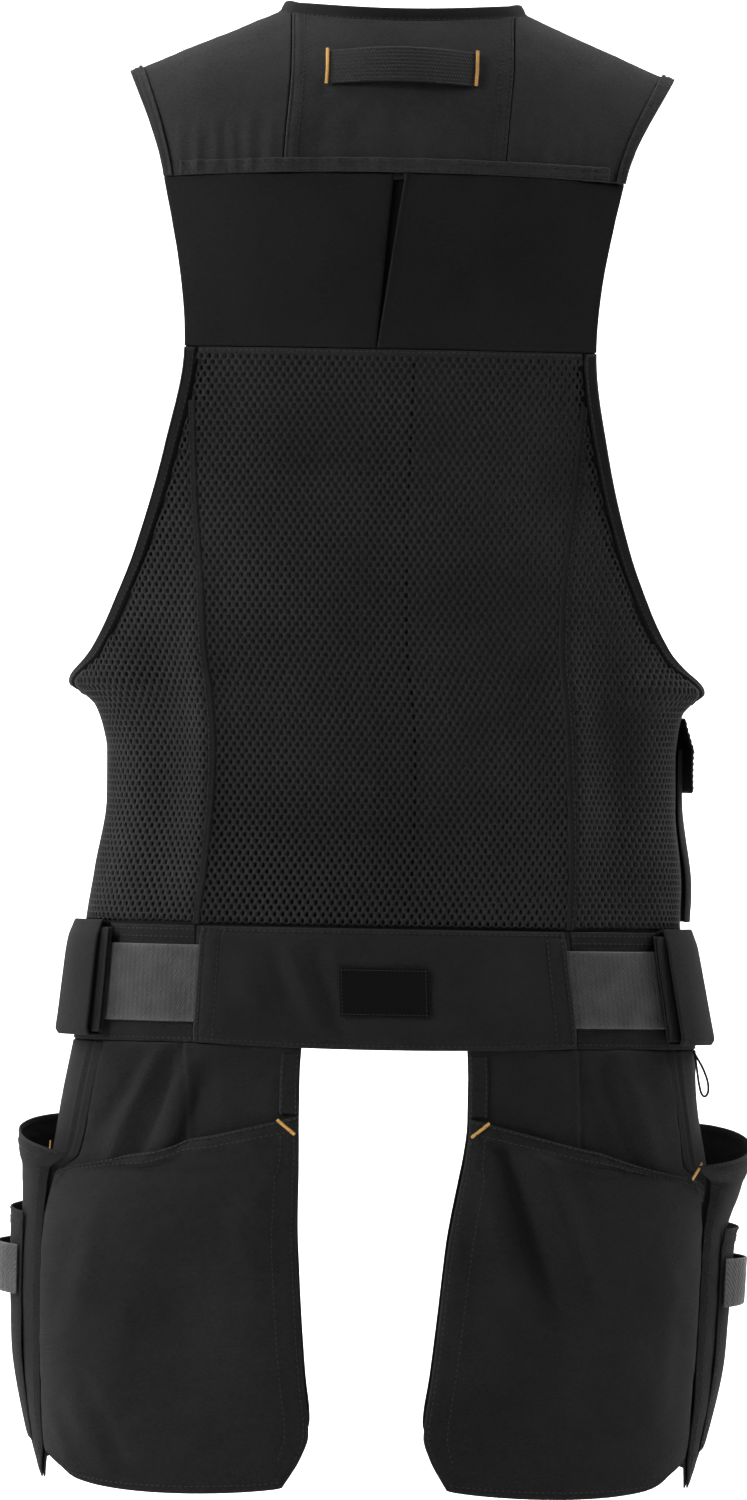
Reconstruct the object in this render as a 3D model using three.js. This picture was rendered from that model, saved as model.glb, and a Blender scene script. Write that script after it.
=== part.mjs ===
// A tool vest for trade work, in the shape that it has on a body: a canvas yoke over both shoulders, a
// stretch panel with a pleat, a net back, canvas fronts, a belt with webbing, and a holster pocket on each
// hip, back and side. Millimetres. X runs to the wearer's right, Y to the front and Z up. The origin is the
// shoulder seat, midway between the inner ends of the two shoulders. A drop is a distance below it, and
// most cloth lies on one body form.
import * as THREE from "three";

const { lerp, clamp, degToRad } = THREE.MathUtils;

// Cloth
const canvasWall = 1.3;
const stretchWall = 1.4;
const netWall = 1.8;
const webbingWall = 1.8;
const bindingWall = 2.6;
const threadWall = 1.2;
const seamGap = 0.5; // between pieces sewn edge to edge
const layerGap = 0.5; // between pieces that lie on each other

// Drops of the main lines
const shoulderDrop = 38;
const yokeDrop = 107;
const netDrop = 216;
const armpitDrop = 433;
const beltDrop = 589;
const beltHeight = 76;
const hemDrop = 950;
const frontYokeDrop = 98;
const zipDrop = 190;
const netSeamDrop = 248;

// Half widths of the outline
const neckHalfWidth = 80;
const shoulderHalfWidth = 176;
const yokeHalfWidth = 148.5;
const backHalfWidth = 132.5;
const armpitHalfWidth = 204;
const waistHalfWidth = 183;
const beltHalfWidth = 191.5;
const hipHalfWidth = 209;
const gapHalfWidth = 55; // half the gap between the hip panels

// Depths and roundness of the body form
const backDepth = 120;
const frontDepth = 112;
const sideSway = 8;
const bodyPower = 2.4;
const shoulderPower = 2.2;
const shoulderSlope = 0.433;
const neckCrown = 21; // how far the form would rise between the shoulders

// Trim on the body
const yokeSeamHalf = 71.5;
const yokeArch = 4.5;
const neckDip = 4.1;
const neckDrop = 3.3;
const neckBandHeight = 8.4;
const hemBandHeight = 9;
const shoulderHemWidth = 8;
const bindingWidth = 8.5;
const bindingGap = 1.3; // from the armhole binding to the cloth that it borders
const pleatTopX = 3;
const pleatLowX = -9;
const pleatHalfWidth = 3.2; // half the slit's width at the yoke
const pleatUnderlay = 26;
const loopHalfLength = 49;
const loopWidth = 25;
const loopDrop = 36;
const loopBow = 13;
const tackWidth = 2.8;
const zipHalfWidth = 6;
const zipWall = 3;
const buckleHalfWidth = 30;
const buckleHeight = 58;
const buckleWall = 9;

// Belt
const webbingWidth = 50;
const webbingDrop = 602;
const webbingTuck = 14; // how far the webbing runs on under the belt panel
const beltPanelTopHalf = 116;
const beltPanelLowHalf = 123;
const beltPanelWall = 2;
const beltPanelBow = 3;
const patchWidth = 58;
const patchHeight = 32;
const patchWall = 1.2;
const tabBackX = 178;
const tabLength = 46;
const tabDepth = 12;
const tabFlapReach = 7;
const tabFlapSpread = 2.4;

// Hips
const holsterInnerDrop = 711;
const holsterOuterDrop = 754;
const holsterMouth = 5;
const holsterPuff = 13;
const backRound = 7; // how far a hem bows below its corners
const sideRound = -13;
const hemSlip = 14;
const hemRise = 4;
const sideFlare = 10.5;
const sideTuck = 6; // how far a hip is drawn in between belt and holster
const sideMouth = 33;
const sidePocketPuff = 8;
const toolLoopWidth = 30;
const toolLoopBow = 7;
const tackLength = 14;
const edgeStripWidth = 12;
const chestPocketDrop = 462;
const chestPocketPuff = 8;
const chestFlapDrop = 449;
const chestFlapHeight = 50;
const cordDiameter = 1.6;

const beltLow = beltDrop + beltHeight;
const chest = (part) => lerp(netDrop, armpitDrop, part);
const waist = (part) => lerp(armpitDrop, beltDrop, part);
const hip = (part) => lerp(beltLow, hemDrop, part);

// The body form. edge is the half width of the outline, reach its share of the form's own half width, back
// and front are shares of backDepth and frontDepth, and sway is how far the cloth hangs to one side, a share
// of sideSway.
const sections = [
  { drop: shoulderDrop, edge: shoulderHalfWidth, reach: 0.82, back: 0.99, front: 0.93, sway: 0 },
  { drop: yokeDrop, edge: yokeHalfWidth, reach: 0.7, back: 0.99, front: 0.97, sway: -0.5 },
  { drop: netDrop, edge: backHalfWidth, reach: 0.63, back: 1, front: 1, sway: -0.56 },
  { drop: chest(0.3), edge: 0.7 * armpitHalfWidth, reach: 0.7, back: 0.975, front: 1, sway: -0.75 },
  { drop: chest(0.594), edge: 0.78 * armpitHalfWidth, reach: 0.8, back: 0.94, front: 0.99, sway: -0.85 },
  { drop: chest(0.747), edge: 0.84 * armpitHalfWidth, reach: 0.87, back: 0.925, front: 0.98, sway: -0.85 },
  { drop: chest(0.88), edge: 0.905 * armpitHalfWidth, reach: 0.935, back: 0.91, front: 0.97, sway: -0.75 },
  { drop: chest(0.94), edge: 0.95 * armpitHalfWidth, reach: 0.975, back: 0.9, front: 0.965, sway: -0.6 },
  { drop: armpitDrop, edge: armpitHalfWidth, reach: 1, back: 0.89, front: 0.96, sway: -0.35 },
  { drop: waist(0.04), edge: 1.078 * waistHalfWidth, reach: 1, back: 0.885, front: 0.955, sway: -0.25 },
  { drop: waist(0.09), edge: 1.036 * waistHalfWidth, reach: 1, back: 0.88, front: 0.95, sway: -0.15 },
  { drop: waist(0.18), edge: 1.012 * waistHalfWidth, reach: 1, back: 0.87, front: 0.945, sway: 0 },
  { drop: waist(0.28), edge: waistHalfWidth, reach: 1, back: 0.86, front: 0.94, sway: 0.1 },
  { drop: waist(0.48), edge: waistHalfWidth, reach: 1, back: 0.85, front: 0.93, sway: 0.15 },
  { drop: waist(0.78), edge: 1.032 * waistHalfWidth, reach: 1, back: 0.86, front: 0.92, sway: 0 },
  { drop: beltDrop, edge: beltHalfWidth, reach: 1, back: 0.875, front: 0.91, sway: -0.3 },
  { drop: beltLow, edge: 0.962 * hipHalfWidth, reach: 1, back: 0.9, front: 0.92, sway: 0 },
  { drop: hip(0.18), edge: 0.985 * hipHalfWidth, reach: 1, back: 0.93, front: 0.94, sway: 0 },
  { drop: hip(0.48), edge: hipHalfWidth, reach: 1, back: 0.955, front: 0.95, sway: -0.75 },
  { drop: hip(1), edge: 0.99 * hipHalfWidth, reach: 1, back: 0.98, front: 0.96, sway: -1 },
];

// Folds run down the cloth from a top point to a low one. side is -1 left, 1 right, 0 both. x is a share of
// beltHalfWidth, drop of hemDrop, and wide and high are shares of the fold sizes below. A low high is a hollow.
const foldWidth = 16;
const foldHeight = 8;
const folds = [
  { side: 0, topX: 0.61, topDrop: 0.36, lowX: 0.63, lowDrop: 0.62, wide: 0.55, high: 0.5 },
  { side: 0, topX: 0.76, topDrop: 0.4, lowX: 0.77, lowDrop: 0.62, wide: 1.1, high: -1 },
  { side: -1, topX: 0.66, topDrop: 0.705, lowX: 0.8, lowDrop: 0.785, wide: 0.6, high: 0.55 },
  { side: -1, topX: 0.6, topDrop: 0.71, lowX: 0.68, lowDrop: 0.785, wide: 0.6, high: -0.45 },
  { side: 1, topX: 0.66, topDrop: 0.705, lowX: 0.77, lowDrop: 0.785, wide: 0.7, high: -0.45 },
];

// Outline of a hip's back and side panels, which part at the hem: inner is a share of gapHalfWidth, the
// back's crease and the side's rear edge are shares of hipHalfWidth, and slip is how far that edge moves
// forward, of hemSlip.
const hipRows = [
  { part: 0, inner: 0.98, crease: 0.867, rear: 0.867, slip: 0 },
  { part: 0.09, inner: 1, crease: 0.892, rear: 0.892, slip: 0 },
  { part: 0.18, inner: 1, crease: 0.912, rear: 0.912, slip: 0 },
  { part: 0.26, inner: 0.975, crease: 0.93, rear: 0.93, slip: 0.1 },
  { part: 0.3, inner: 0.955, crease: 0.983, rear: 0.983, slip: 0.2 },
  { part: 0.48, inner: 0.87, crease: 0.997, rear: 0.997, slip: 0 },
  { part: 0.62, inner: 0.81, crease: 0.995, rear: 0.995, slip: 0 },
  { part: 0.76, inner: 0.74, crease: 0.99, rear: 0.99, slip: 0 },
  { part: 0.88, inner: 0.67, crease: 0.985, rear: 0.985, slip: 0 },
  { part: 0.93, inner: 0.75, crease: 0.98, rear: 0.98, slip: 0.2 },
  { part: 1, inner: 0.96, crease: 0.9, rear: 0.98, slip: 1 },
];

// The hips hang a little apart: shares of sideMouth, sideFlare and sideTuck for each.
const sides = [
  { name: "left", sign: -1, mouth: 0.72, flare: 1, tuck: 0 },
  { name: "right", sign: 1, mouth: 0.95, flare: 1, tuck: 1 },
];

const colours = {
  canvas: { color: 0x2b2b2c, roughness: 0.85 },
  hem: { color: 0x252526, roughness: 0.85 },
  stretch: { color: 0x1b1b1c, roughness: 0.92 },
  net: { color: 0x161617, roughness: 0.9 },
  binding: { color: 0x1c1c1d, roughness: 0.85 },
  webbing: { color: 0x4b4b4c, roughness: 0.7 },
  thread: { color: 0xc58f3a, roughness: 0.6 },
  plastic: { color: 0x141415, roughness: 0.45 },
  patch: { color: 0x161617, roughness: 0.8 },
};
const materials = {};
for (const [name, look] of Object.entries(colours)) {
  materials[name] = new THREE.MeshStandardMaterial({ metalness: 0, ...look });
}

const vest = new THREE.Group();

function add(name, finish, geometry) {
  const mesh = new THREE.Mesh(geometry, materials[finish]);
  mesh.name = name;
  vest.add(mesh);
  return mesh;
}

// The value of a column between two rows of a table: on a smooth curve that never overshoots its rows.
function smooth(rows, key, at, column) {
  const last = rows.length - 1;
  if (at <= rows[0][key]) return rows[0][column];
  if (at >= rows[last][key]) return rows[last][column];
  const slope = (i) => (rows[i + 1][column] - rows[i][column]) / (rows[i + 1][key] - rows[i][key]);
  const tangent = (i) => {
    const before = slope(Math.max(i - 1, 0));
    const after = slope(Math.min(i, last - 1));
    return before * after > 0 ? (2 * before * after) / (before + after) : 0;
  };
  const i = rows.findIndex((row) => row[key] > at) - 1;
  const span = rows[i + 1][key] - rows[i][key];
  const t = (at - rows[i][key]) / span;
  const keep = (1 + 2 * t) * (1 - t) ** 2;
  return (
    keep * rows[i][column] +
    (1 - keep) * rows[i + 1][column] +
    span * t * (1 - t) * ((1 - t) * tangent(i) - t * tangent(i + 1))
  );
}

// The same on straight lines between the rows.
function straight(rows, key, at, column) {
  const last = rows.length - 1;
  if (at <= rows[0][key]) return rows[0][column];
  if (at >= rows[last][key]) return rows[last][column];
  const i = rows.findIndex((row) => row[key] > at) - 1;
  const t = (at - rows[i][key]) / (rows[i + 1][key] - rows[i][key]);
  return lerp(rows[i][column], rows[i + 1][column], t);
}

const edgeAt = (z) => smooth(sections, "drop", -z, "edge");
const halfAt = (z) => edgeAt(z) / smooth(sections, "drop", -z, "reach");
const backAt = (z) => backDepth * smooth(sections, "drop", -z, "back");
const frontAt = (z) => frontDepth * smooth(sections, "drop", -z, "front");

// Height of the line along the top of the shoulders, which runs on as a crown between them.
function shoulderLine(x) {
  const out = Math.abs(x);
  if (out > neckHalfWidth) return neckDrop - shoulderSlope * (out - neckHalfWidth);
  return neckDrop + neckCrown * (1 - (out / neckHalfWidth) ** 2);
}

// Above domeLevel the form turns over the shoulders.
const domeLevel = -lerp(yokeDrop, netDrop, 0.4);
function dome(x, z) {
  if (z <= domeLevel) return 1;
  const climb = (z - domeLevel) / (shoulderLine(x) - domeLevel);
  return Math.max(1 - climb ** shoulderPower, 0) ** (1 / shoulderPower);
}

function foldAt(x, z) {
  let height = 0;
  for (const fold of folds) {
    const along = (-z / hemDrop - fold.topDrop) / (fold.lowDrop - fold.topDrop);
    if (along <= 0 || along >= 1 || fold.side * x < 0) continue;
    const middle = lerp(fold.topX, fold.lowX, along) * beltHalfWidth;
    const aside = (Math.abs(x) - middle) / (fold.wide * foldWidth);
    height += fold.high * foldHeight * Math.sin(Math.PI * along) ** 0.7 * Math.exp(-(aside ** 2));
  }
  return height;
}

// A point of the body form: theta is 0 at the middle of the back, and grows to the right round to pi in front.
function body(theta, z) {
  const [s, c] = [Math.sin(theta), Math.cos(theta)];
  const round = (Math.abs(s) ** bodyPower + Math.abs(c) ** bodyPower) ** (-1 / bodyPower);
  const half = halfAt(z);
  const depth = c > 0 ? backAt(z) : frontAt(z);
  const x = half * s * round;
  const y = -depth * c * round * dome(x, z);
  const spot = new THREE.Vector3(x + sideSway * smooth(sections, "drop", -z, "sway"), y, z);
  if (c < 0) return spot;
  const out = new THREE.Vector3(x / half ** 2, y / depth ** 2, 0).normalize();
  return spot.addScaledVector(out, foldAt(x, z) * Math.min(1, c / 0.25));
}

// The angle at which the form is a given x from its own middle at a height, on the back (-1) or the front (1).
function angleAt(x, z, face = -1) {
  const across = Math.min(Math.abs(x) / halfAt(z), 1);
  const angle = Math.atan2(across, (1 - across ** bodyPower) ** (1 / bodyPower));
  return Math.sign(x) * (face < 0 ? angle : Math.PI - angle);
}
const onBody = (x, z, face = -1) => body(angleAt(x, z, face), z);

// A point at a level distance from the form.
function outwards(theta, z, distance) {
  const step = 0.01;
  const across = body(theta + step, z).sub(body(theta - step, z));
  return body(theta, z).addScaledVector(new THREE.Vector3(across.y, -across.x, 0).normalize(), distance);
}

// Millimetres round the form as an angle.
function turn(theta, z, distance) {
  const step = 0.01;
  return (distance * 2 * step) / body(theta + step, z).distanceTo(body(theta - step, z));
}

const even = (steps) => Array.from({ length: steps + 1 }, (_, i) => i / steps);
const mapped = (values, low, high) => values.map((value) => (value - low) / (high - low));

// A curved sheet of cloth as one closed solid. at(u, v) is a point of the ground that it lies on, and from its
// height over that ground, as a number or a function of u and v.
function sheet(us, vs, at, from, wall) {
  const lift = typeof from === "function" ? from : () => from;
  const step = 0.01;
  const normal = (u, v) => {
    const across = at(Math.min(u + step, 1), v).sub(at(Math.max(u - step, 0), v));
    const down = at(u, Math.min(v + step, 1)).sub(at(u, Math.max(v - step, 0)));
    return across.cross(down).normalize();
  };
  const facing = Math.sign(normal(0.4, 0.4).dot(at(0.4, 0.4).setZ(0)));
  const points = [];
  for (const extra of [wall, 0]) {
    for (const v of vs) {
      for (const u of us) points.push(at(u, v).addScaledVector(normal(u, v), facing * (lift(u, v) + extra)));
    }
  }
  const [lastRow, lastCol] = [vs.length - 1, us.length - 1];
  const id = (layer, r, c) => (layer * vs.length + r) * us.length + c;
  const quads = [];
  for (let r = 0; r < lastRow; r++) {
    for (let c = 0; c < lastCol; c++) {
      quads.push([id(0, r, c), id(0, r, c + 1), id(0, r + 1, c + 1), id(0, r + 1, c)]);
      quads.push([id(1, r, c), id(1, r + 1, c), id(1, r + 1, c + 1), id(1, r, c + 1)]);
    }
    quads.push([id(0, r, 0), id(0, r + 1, 0), id(1, r + 1, 0), id(1, r, 0)]);
    quads.push([id(0, r + 1, lastCol), id(0, r, lastCol), id(1, r, lastCol), id(1, r + 1, lastCol)]);
  }
  for (let c = 0; c < lastCol; c++) {
    quads.push([id(0, 0, c + 1), id(0, 0, c), id(1, 0, c), id(1, 0, c + 1)]);
    quads.push([id(0, lastRow, c), id(0, lastRow, c + 1), id(1, lastRow, c + 1), id(1, lastRow, c)]);
  }
  return solid(points, facing > 0 ? quads : quads.map((quad) => quad.toReversed()));
}

// A tube of cloth that is open at both ends. Each station has an outer and an inner loop of as many points.
function sleeve(stations) {
  const points = stations.flatMap(({ outer, inner }) => [...outer, ...inner]);
  const count = stations[0].outer.length;
  const id = (station, layer, i) => (station * 2 + layer) * count + (i % count);
  const last = stations.length - 1;
  const quads = [];
  for (let i = 0; i < count; i++) {
    for (let s = 0; s < last; s++) {
      quads.push([id(s, 0, i), id(s + 1, 0, i), id(s + 1, 0, i + 1), id(s, 0, i + 1)]);
      quads.push([id(s, 1, i), id(s, 1, i + 1), id(s + 1, 1, i + 1), id(s + 1, 1, i)]);
    }
    quads.push([id(0, 0, i), id(0, 0, i + 1), id(0, 1, i + 1), id(0, 1, i)]);
    quads.push([id(last, 0, i), id(last, 1, i), id(last, 1, i + 1), id(last, 0, i + 1)]);
  }
  return solid(points, quads);
}

function solid(points, quads) {
  const geometry = new THREE.BufferGeometry().setFromPoints(points);
  geometry.setIndex(quads.flatMap(([a, b, c, d]) => [a, b, c, a, c, d]));
  geometry.computeVertexNormals();
  return geometry;
}

// A short row of tight stitches on the ground, from one x and drop to another.
function tack(from, to, height, face = -1) {
  const run = new THREE.Vector2(to.x - from.x, from.drop - to.drop);
  const aside = new THREE.Vector2(-run.y, run.x).setLength(tackWidth / 2);
  const at = (u, v) => {
    const x = lerp(from.x, to.x, u) + aside.x * (2 * v - 1);
    const z = -lerp(from.drop, to.drop, u) + aside.y * (2 * v - 1);
    return onBody(x, z, face);
  };
  return sheet(even(3), even(1), at, height, threadWall);
}

// The yoke
const yokeLow = (x) => -yokeDrop + yokeArch * (1 - (x / yokeHalfWidth) ** 2);
const neckLine = (x) => -neckDrop + neckDip * (x / yokeSeamHalf) ** 2;
const yokeRise = shoulderLine(yokeSeamHalf) - yokeLow(yokeSeamHalf);
const neckPart = (neckLine(yokeSeamHalf) - yokeLow(yokeSeamHalf)) / yokeRise;

function yokeCentre(u, v) {
  const x = lerp(-1, 1, u) * (yokeSeamHalf - seamGap / 2);
  return onBody(x, lerp(neckLine(x), yokeLow(x), v));
}

// The inner edge of a shoulder: the seam with the yoke's centre, then the neck.
function shoulderInner(climb, face) {
  const seam = yokeSeamHalf + seamGap / 2;
  if (face < 0) return lerp(seam, neckHalfWidth, clamp((climb - neckPart) / (1 - neckPart), 0, 1));
  return lerp(seam, neckHalfWidth, climb);
}

// A shoulder runs from the back (v is 0) over its ridge to the front (v is 1).
function shoulder(sign, u, v) {
  const over = lerp(-1, 1, v);
  const face = over < 0 ? -1 : 1;
  const climb = Math.cos((over * Math.PI) / 2);
  const low = (x) => (face < 0 ? yokeLow(x) : -frontYokeDrop);
  const outer = edgeAt(lerp(low(yokeHalfWidth), -shoulderDrop, climb));
  const x = lerp(shoulderInner(climb, face), outer, u);
  const z = lerp(low(x), shoulderLine(x), climb);
  return onBody(sign * x, z, face);
}

add("yoke_centre", "canvas", sheet(even(8), even(5), yokeCentre, 0, canvasWall));
for (const { name, sign } of sides) {
  const panel = (u, v) => shoulder(sign, u, v);
  add(`yoke_shoulder_${name}`, "canvas", sheet(even(5), even(12), panel, 0, canvasWall));
  const hemShare = shoulderHemWidth / (shoulderHalfWidth - neckHalfWidth);
  const hem = (u, v) => shoulder(sign, 1 - hemShare * (1 - u), v);
  add(`shoulder_hem_${name}`, "hem", sheet(even(1), even(12), hem, canvasWall + layerGap, canvasWall));
}

// The yoke's lower hem, which ends where the shoulder hems begin
const hemBandHalf = yokeHalfWidth - shoulderHemWidth * 1.3 - seamGap;
const hemBand = (u, v) => {
  const x = lerp(-hemBandHalf, hemBandHalf, u);
  return onBody(x, yokeLow(x) + lerp(hemBandHeight, 0, v));
};
add("yoke_hem_band", "hem", sheet(even(18), even(1), hemBand, canvasWall + layerGap, canvasWall));

// Hang loop
const lean = onBody(0, -loopDrop + 1).distanceTo(onBody(0, -loopDrop - 1)) / 2;
const loopRise = loopWidth / 2 / lean;
const loopAt = (u, v) => onBody(lerp(-1, 1, u) * loopHalfLength, -loopDrop + lerp(loopRise, -loopRise, v));
const loopGround = canvasWall + layerGap;
const loopLift = (u) => loopGround + loopBow * Math.sin(Math.PI * u) ** 1.2;
add("hang_loop", "webbing", sheet(even(12), even(1), loopAt, loopLift, webbingWall));
for (const { name, sign } of sides) {
  const x = sign * (loopHalfLength - tackWidth / 2);
  const [top, low] = [loopDrop - loopRise, loopDrop + loopRise];
  const ends = [{ x, drop: top }, { x, drop: low }];
  const height = loopLift(tackWidth / loopHalfLength / 2) + webbingWall + layerGap / 2;
  add(`hang_loop_tack_${name}`, "thread", tack(ends[0], ends[1], height));
}

// Stretch panels on both sides of the pleat, and the cloth that shows in its slit
const pleatX = (z) => lerp(pleatTopX, pleatLowX, clamp((-z - yokeDrop) / (netDrop - yokeDrop), 0, 1));
const slitAt = (z) => pleatHalfWidth * clamp((netDrop + z) / (netDrop - yokeDrop), 0, 1) + seamGap / 2;
for (const { name, sign } of sides) {
  const panel = (u, v) => {
    const z = (x) => lerp(yokeLow(x) - seamGap, -netDrop, v);
    const outer = edgeAt(z(yokeHalfWidth));
    const level = z(outer * u);
    return onBody(lerp(pleatX(level) + sign * slitAt(level), sign * outer, u), level);
  };
  add(`stretch_panel_${name}`, "stretch", sheet(even(7), even(6), panel, 0, stretchWall));
}
const underlay = (u, v) => {
  const z = lerp(-yokeDrop, -netDrop + 4, v);
  return onBody(pleatX(z) + (u - 0.5) * pleatUnderlay, z);
};
add("pleat_underlay", "stretch", sheet(even(2), even(4), underlay, -stretchWall - layerGap, stretchWall));

// The armhole's edge as angles and heights: down the back, through the armpit and up the front
const quarter = Math.PI / 2;
function armholePath(steps) {
  const drops = (top) => even(steps).map((t) => lerp(top, armpitDrop, Math.sin(t * quarter)));
  const back = drops(netDrop + seamGap).map((drop) => ({ theta: angleAt(edgeAt(-drop), -drop), z: -drop }));
  const front = drops(frontYokeDrop + bindingWidth / 4).map((drop) => {
    return { theta: angleAt(edgeAt(-drop), -drop, 1), z: -drop };
  });
  return [...back, ...front.toReversed().slice(1)];
}

// That path moved into the cloth by a width.
function inset(path, width) {
  const step = 0.01;
  const last = path.length - 1;
  return path.map(({ theta, z }, i) => {
    const [before, after] = [path[Math.max(i - 1, 0)], path[Math.min(i + 1, last)]];
    const run = body(after.theta, after.z).sub(body(before.theta, before.z));
    const round = body(theta + step, z).sub(body(theta - step, z)).divideScalar(2 * step);
    const rise = body(theta, z + 1).sub(body(theta, z - 1)).divideScalar(2);
    const into = run.cross(round.clone().cross(rise)).setLength(width);
    return { theta: theta + into.dot(round) / round.lengthSq(), z: z + into.dot(rise) / rise.lengthSq() };
  });
}
const armholeSteps = 9;
const armhole = armholePath(armholeSteps);
const bindingInner = inset(armhole, bindingWidth);
const clothEdge = inset(armhole, bindingWidth + bindingGap);
const rowsOf = (path) => path.map(({ theta, z }) => ({ drop: -z, theta }));
const backEdge = rowsOf(clothEdge.slice(0, armholeSteps + 1));
const frontEdge = rowsOf(clothEdge.slice(armholeSteps)).toReversed();
for (const { name, sign } of sides) {
  const last = armhole.length - 1;
  const binding = (u, v) => {
    const i = Math.min(Math.floor(v * last), last - 1);
    const spot = (key) => {
      const between = (path) => lerp(path[i][key], path[i + 1][key], v * last - i);
      return lerp(between(armhole), between(bindingInner), u);
    };
    return body(sign * spot("theta"), spot("z"));
  };
  const geometry = sheet([0, 1], even(last), binding, -(bindingWall - netWall) / 2, bindingWall);
  add(`armhole_binding_${name}`, "binding", geometry);
}

// Net back and net sides, sewn together along a seam from the armhole to the belt
const sideSeam = degToRad(88);
const netSeamTop = straight(backEdge, "drop", netSeamDrop, "theta");
const acrossTop = (1 + Math.tan(netSeamTop) ** -bodyPower) ** (-1 / bodyPower);
const netSeamRows = [
  { drop: netSeamDrop, x: (halfAt(-netSeamDrop) * acrossTop) / beltHalfWidth },
  { drop: chest(0.45), x: 0.637 },
  { drop: chest(0.747), x: 0.606 },
  { drop: waist(0.2), x: 0.596 },
  { drop: beltDrop, x: 0.627 },
  { drop: beltLow, x: 0.645 },
];
const netSeam = (z) => angleAt(smooth(netSeamRows, "drop", -z, "x") * beltHalfWidth, z);
const outerEdge = (z) => Math.min(straight(backEdge, "drop", -z, "theta"), sideSeam);

const sideNetDrop = netSeamDrop + 4;
const waistDrops = [0.1, 0.18, 0.3, 0.5, 0.75, 1].map(waist);
const sideDrops = [
  sideNetDrop,
  ...backEdge.map((row) => row.drop).filter((drop) => drop > sideNetDrop + 4),
  ...waistDrops,
];
const netDrops = [...even(2).map((t) => lerp(netDrop + seamGap, netSeamDrop, t)), ...sideDrops];
const [netTop, netLow] = [netDrops[0], netDrops.at(-1)];
const backNet = (u, v) => {
  const z = -lerp(netTop, netLow, v);
  const edge = Math.min(netSeam(z) - turn(netSeam(z), z, seamGap / 2), outerEdge(z));
  return body(lerp(-edge, edge, u), z);
};
const acrossBack = even(10).map((t) => {
  const swing = Math.cos(Math.PI * t);
  return 0.5 - 0.375 * swing - 0.125 * swing ** 3;
});
add("back_net", "net", sheet(acrossBack, mapped(netDrops, netTop, netLow), backNet, 0, netWall));

const [sideTop, sideLow] = [sideDrops[0], sideDrops.at(-1)];
for (const { name, sign } of sides) {
  const panel = (u, v) => {
    const z = -lerp(sideTop, sideLow, v);
    const seam = netSeam(z) + turn(netSeam(z), z, seamGap / 2);
    return body(sign * lerp(seam, outerEdge(z), u), z);
  };
  add(`side_net_${name}`, "net", sheet(even(6), mapped(sideDrops, sideTop, sideLow), panel, 0, netWall));
}

// Fronts, from the yoke's front edge to the belt, and the zip between them
const neckEnd = zipHalfWidth + seamGap;
function frontInner(z) {
  const fall = clamp((-z - frontYokeDrop) / (zipDrop - frontYokeDrop), 0, 1);
  return neckEnd + (yokeSeamHalf + seamGap / 2 - neckEnd) * (1 - fall) ** 1.4;
}
const frontDrops = [
  ...even(4).map((t) => lerp(frontYokeDrop + seamGap, zipDrop, t)),
  ...frontEdge.map((row) => row.drop).filter((drop) => drop > zipDrop + 4),
  ...waistDrops,
];
const [frontTop, frontLow] = [frontDrops[0], frontDrops.at(-1)];
for (const { name, sign } of sides) {
  const panel = (u, v) => {
    const z = -lerp(frontTop, frontLow, v);
    const outer = Math.max(straight(frontEdge, "drop", -z, "theta"), sideSeam + turn(sideSeam, z, seamGap));
    return body(sign * lerp(angleAt(frontInner(z), z, 1), outer, u), z);
  };
  const rows = mapped(frontDrops, frontTop, frontLow);
  add(`front_panel_${name}`, "canvas", sheet(even(8), rows, panel, 0, canvasWall));
}
const zip = (u, v) => onBody(lerp(-1, 1, u) * zipHalfWidth + 1e-6, -lerp(zipDrop, beltDrop, v), 1);
const zipDrops = [zipDrop, ...frontDrops.filter((drop) => drop > zipDrop + 1)];
const zipRows = mapped(zipDrops, zipDrop, beltDrop);
add("front_zip", "plastic", sheet([0, 1], zipRows, zip, -(zipWall - canvasWall) / 2, zipWall));

// Neck band: along the front, over both shoulders and round the back of the neck, standing up from the edge
function neckPoint(t) {
  const part = Math.abs(t) * 3;
  const sign = Math.sign(t) || 1;
  if (part < 1) {
    const x = part * yokeSeamHalf;
    return onBody(sign * x + 1e-6, neckLine(x));
  }
  if (part < 2) {
    const over = lerp(-Math.acos(neckPart) / quarter, 1, part - 1);
    return shoulder(sign, 0, (over + 1) / 2);
  }
  const z = -lerp(frontYokeDrop, zipDrop, part - 2);
  return onBody(sign * frontInner(z), z, 1);
}
function neckBand(u, v) {
  const t = lerp(-1, 1, u);
  const step = 0.004;
  const spot = neckPoint(t);
  const run = neckPoint(Math.min(t + step, 1)).sub(neckPoint(Math.max(t - step, -1)));
  const inward = new THREE.Vector3(-spot.x, -0.6 * spot.y, Math.abs(spot.y) / 2);
  const stand = clamp(1 + spot.z / frontYokeDrop, 0, 1);
  const up = inward.normalize().add(new THREE.Vector3(0, 0, 1.6 * stand)).normalize();
  const rise = up.addScaledVector(run.normalize(), -up.dot(run)).normalize();
  return spot.addScaledVector(rise, seamGap + canvasWall / 2 + v * neckBandHeight);
}
add("neck_band", "binding", sheet(even(46), [0, 1], neckBand, -bindingWall / 2, bindingWall));

// Waistband, under the belt, in three lengths
const bandTop = -beltDrop - seamGap;
const bandLow = -beltLow;
const waistAt = (from, to) => (u, v) => {
  const z = lerp(bandTop, bandLow, v);
  return body(lerp(from(z), to(z), u), z);
};
const bandSeam = (z) => netSeam(z) - turn(netSeam(z), z, seamGap / 2);
const bandBack = waistAt((z) => -bandSeam(z), bandSeam);
add("waistband_back", "canvas", sheet(even(16), even(1), bandBack, 0, canvasWall));
for (const { name, sign } of sides) {
  const from = (z) => sign * (netSeam(z) + turn(netSeam(z), z, seamGap / 2));
  const to = (z) => sign * angleAt(seamGap, z, 1);
  add(`waistband_${name}`, "canvas", sheet(even(24), even(1), waistAt(from, to), 0, canvasWall));
}

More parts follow.
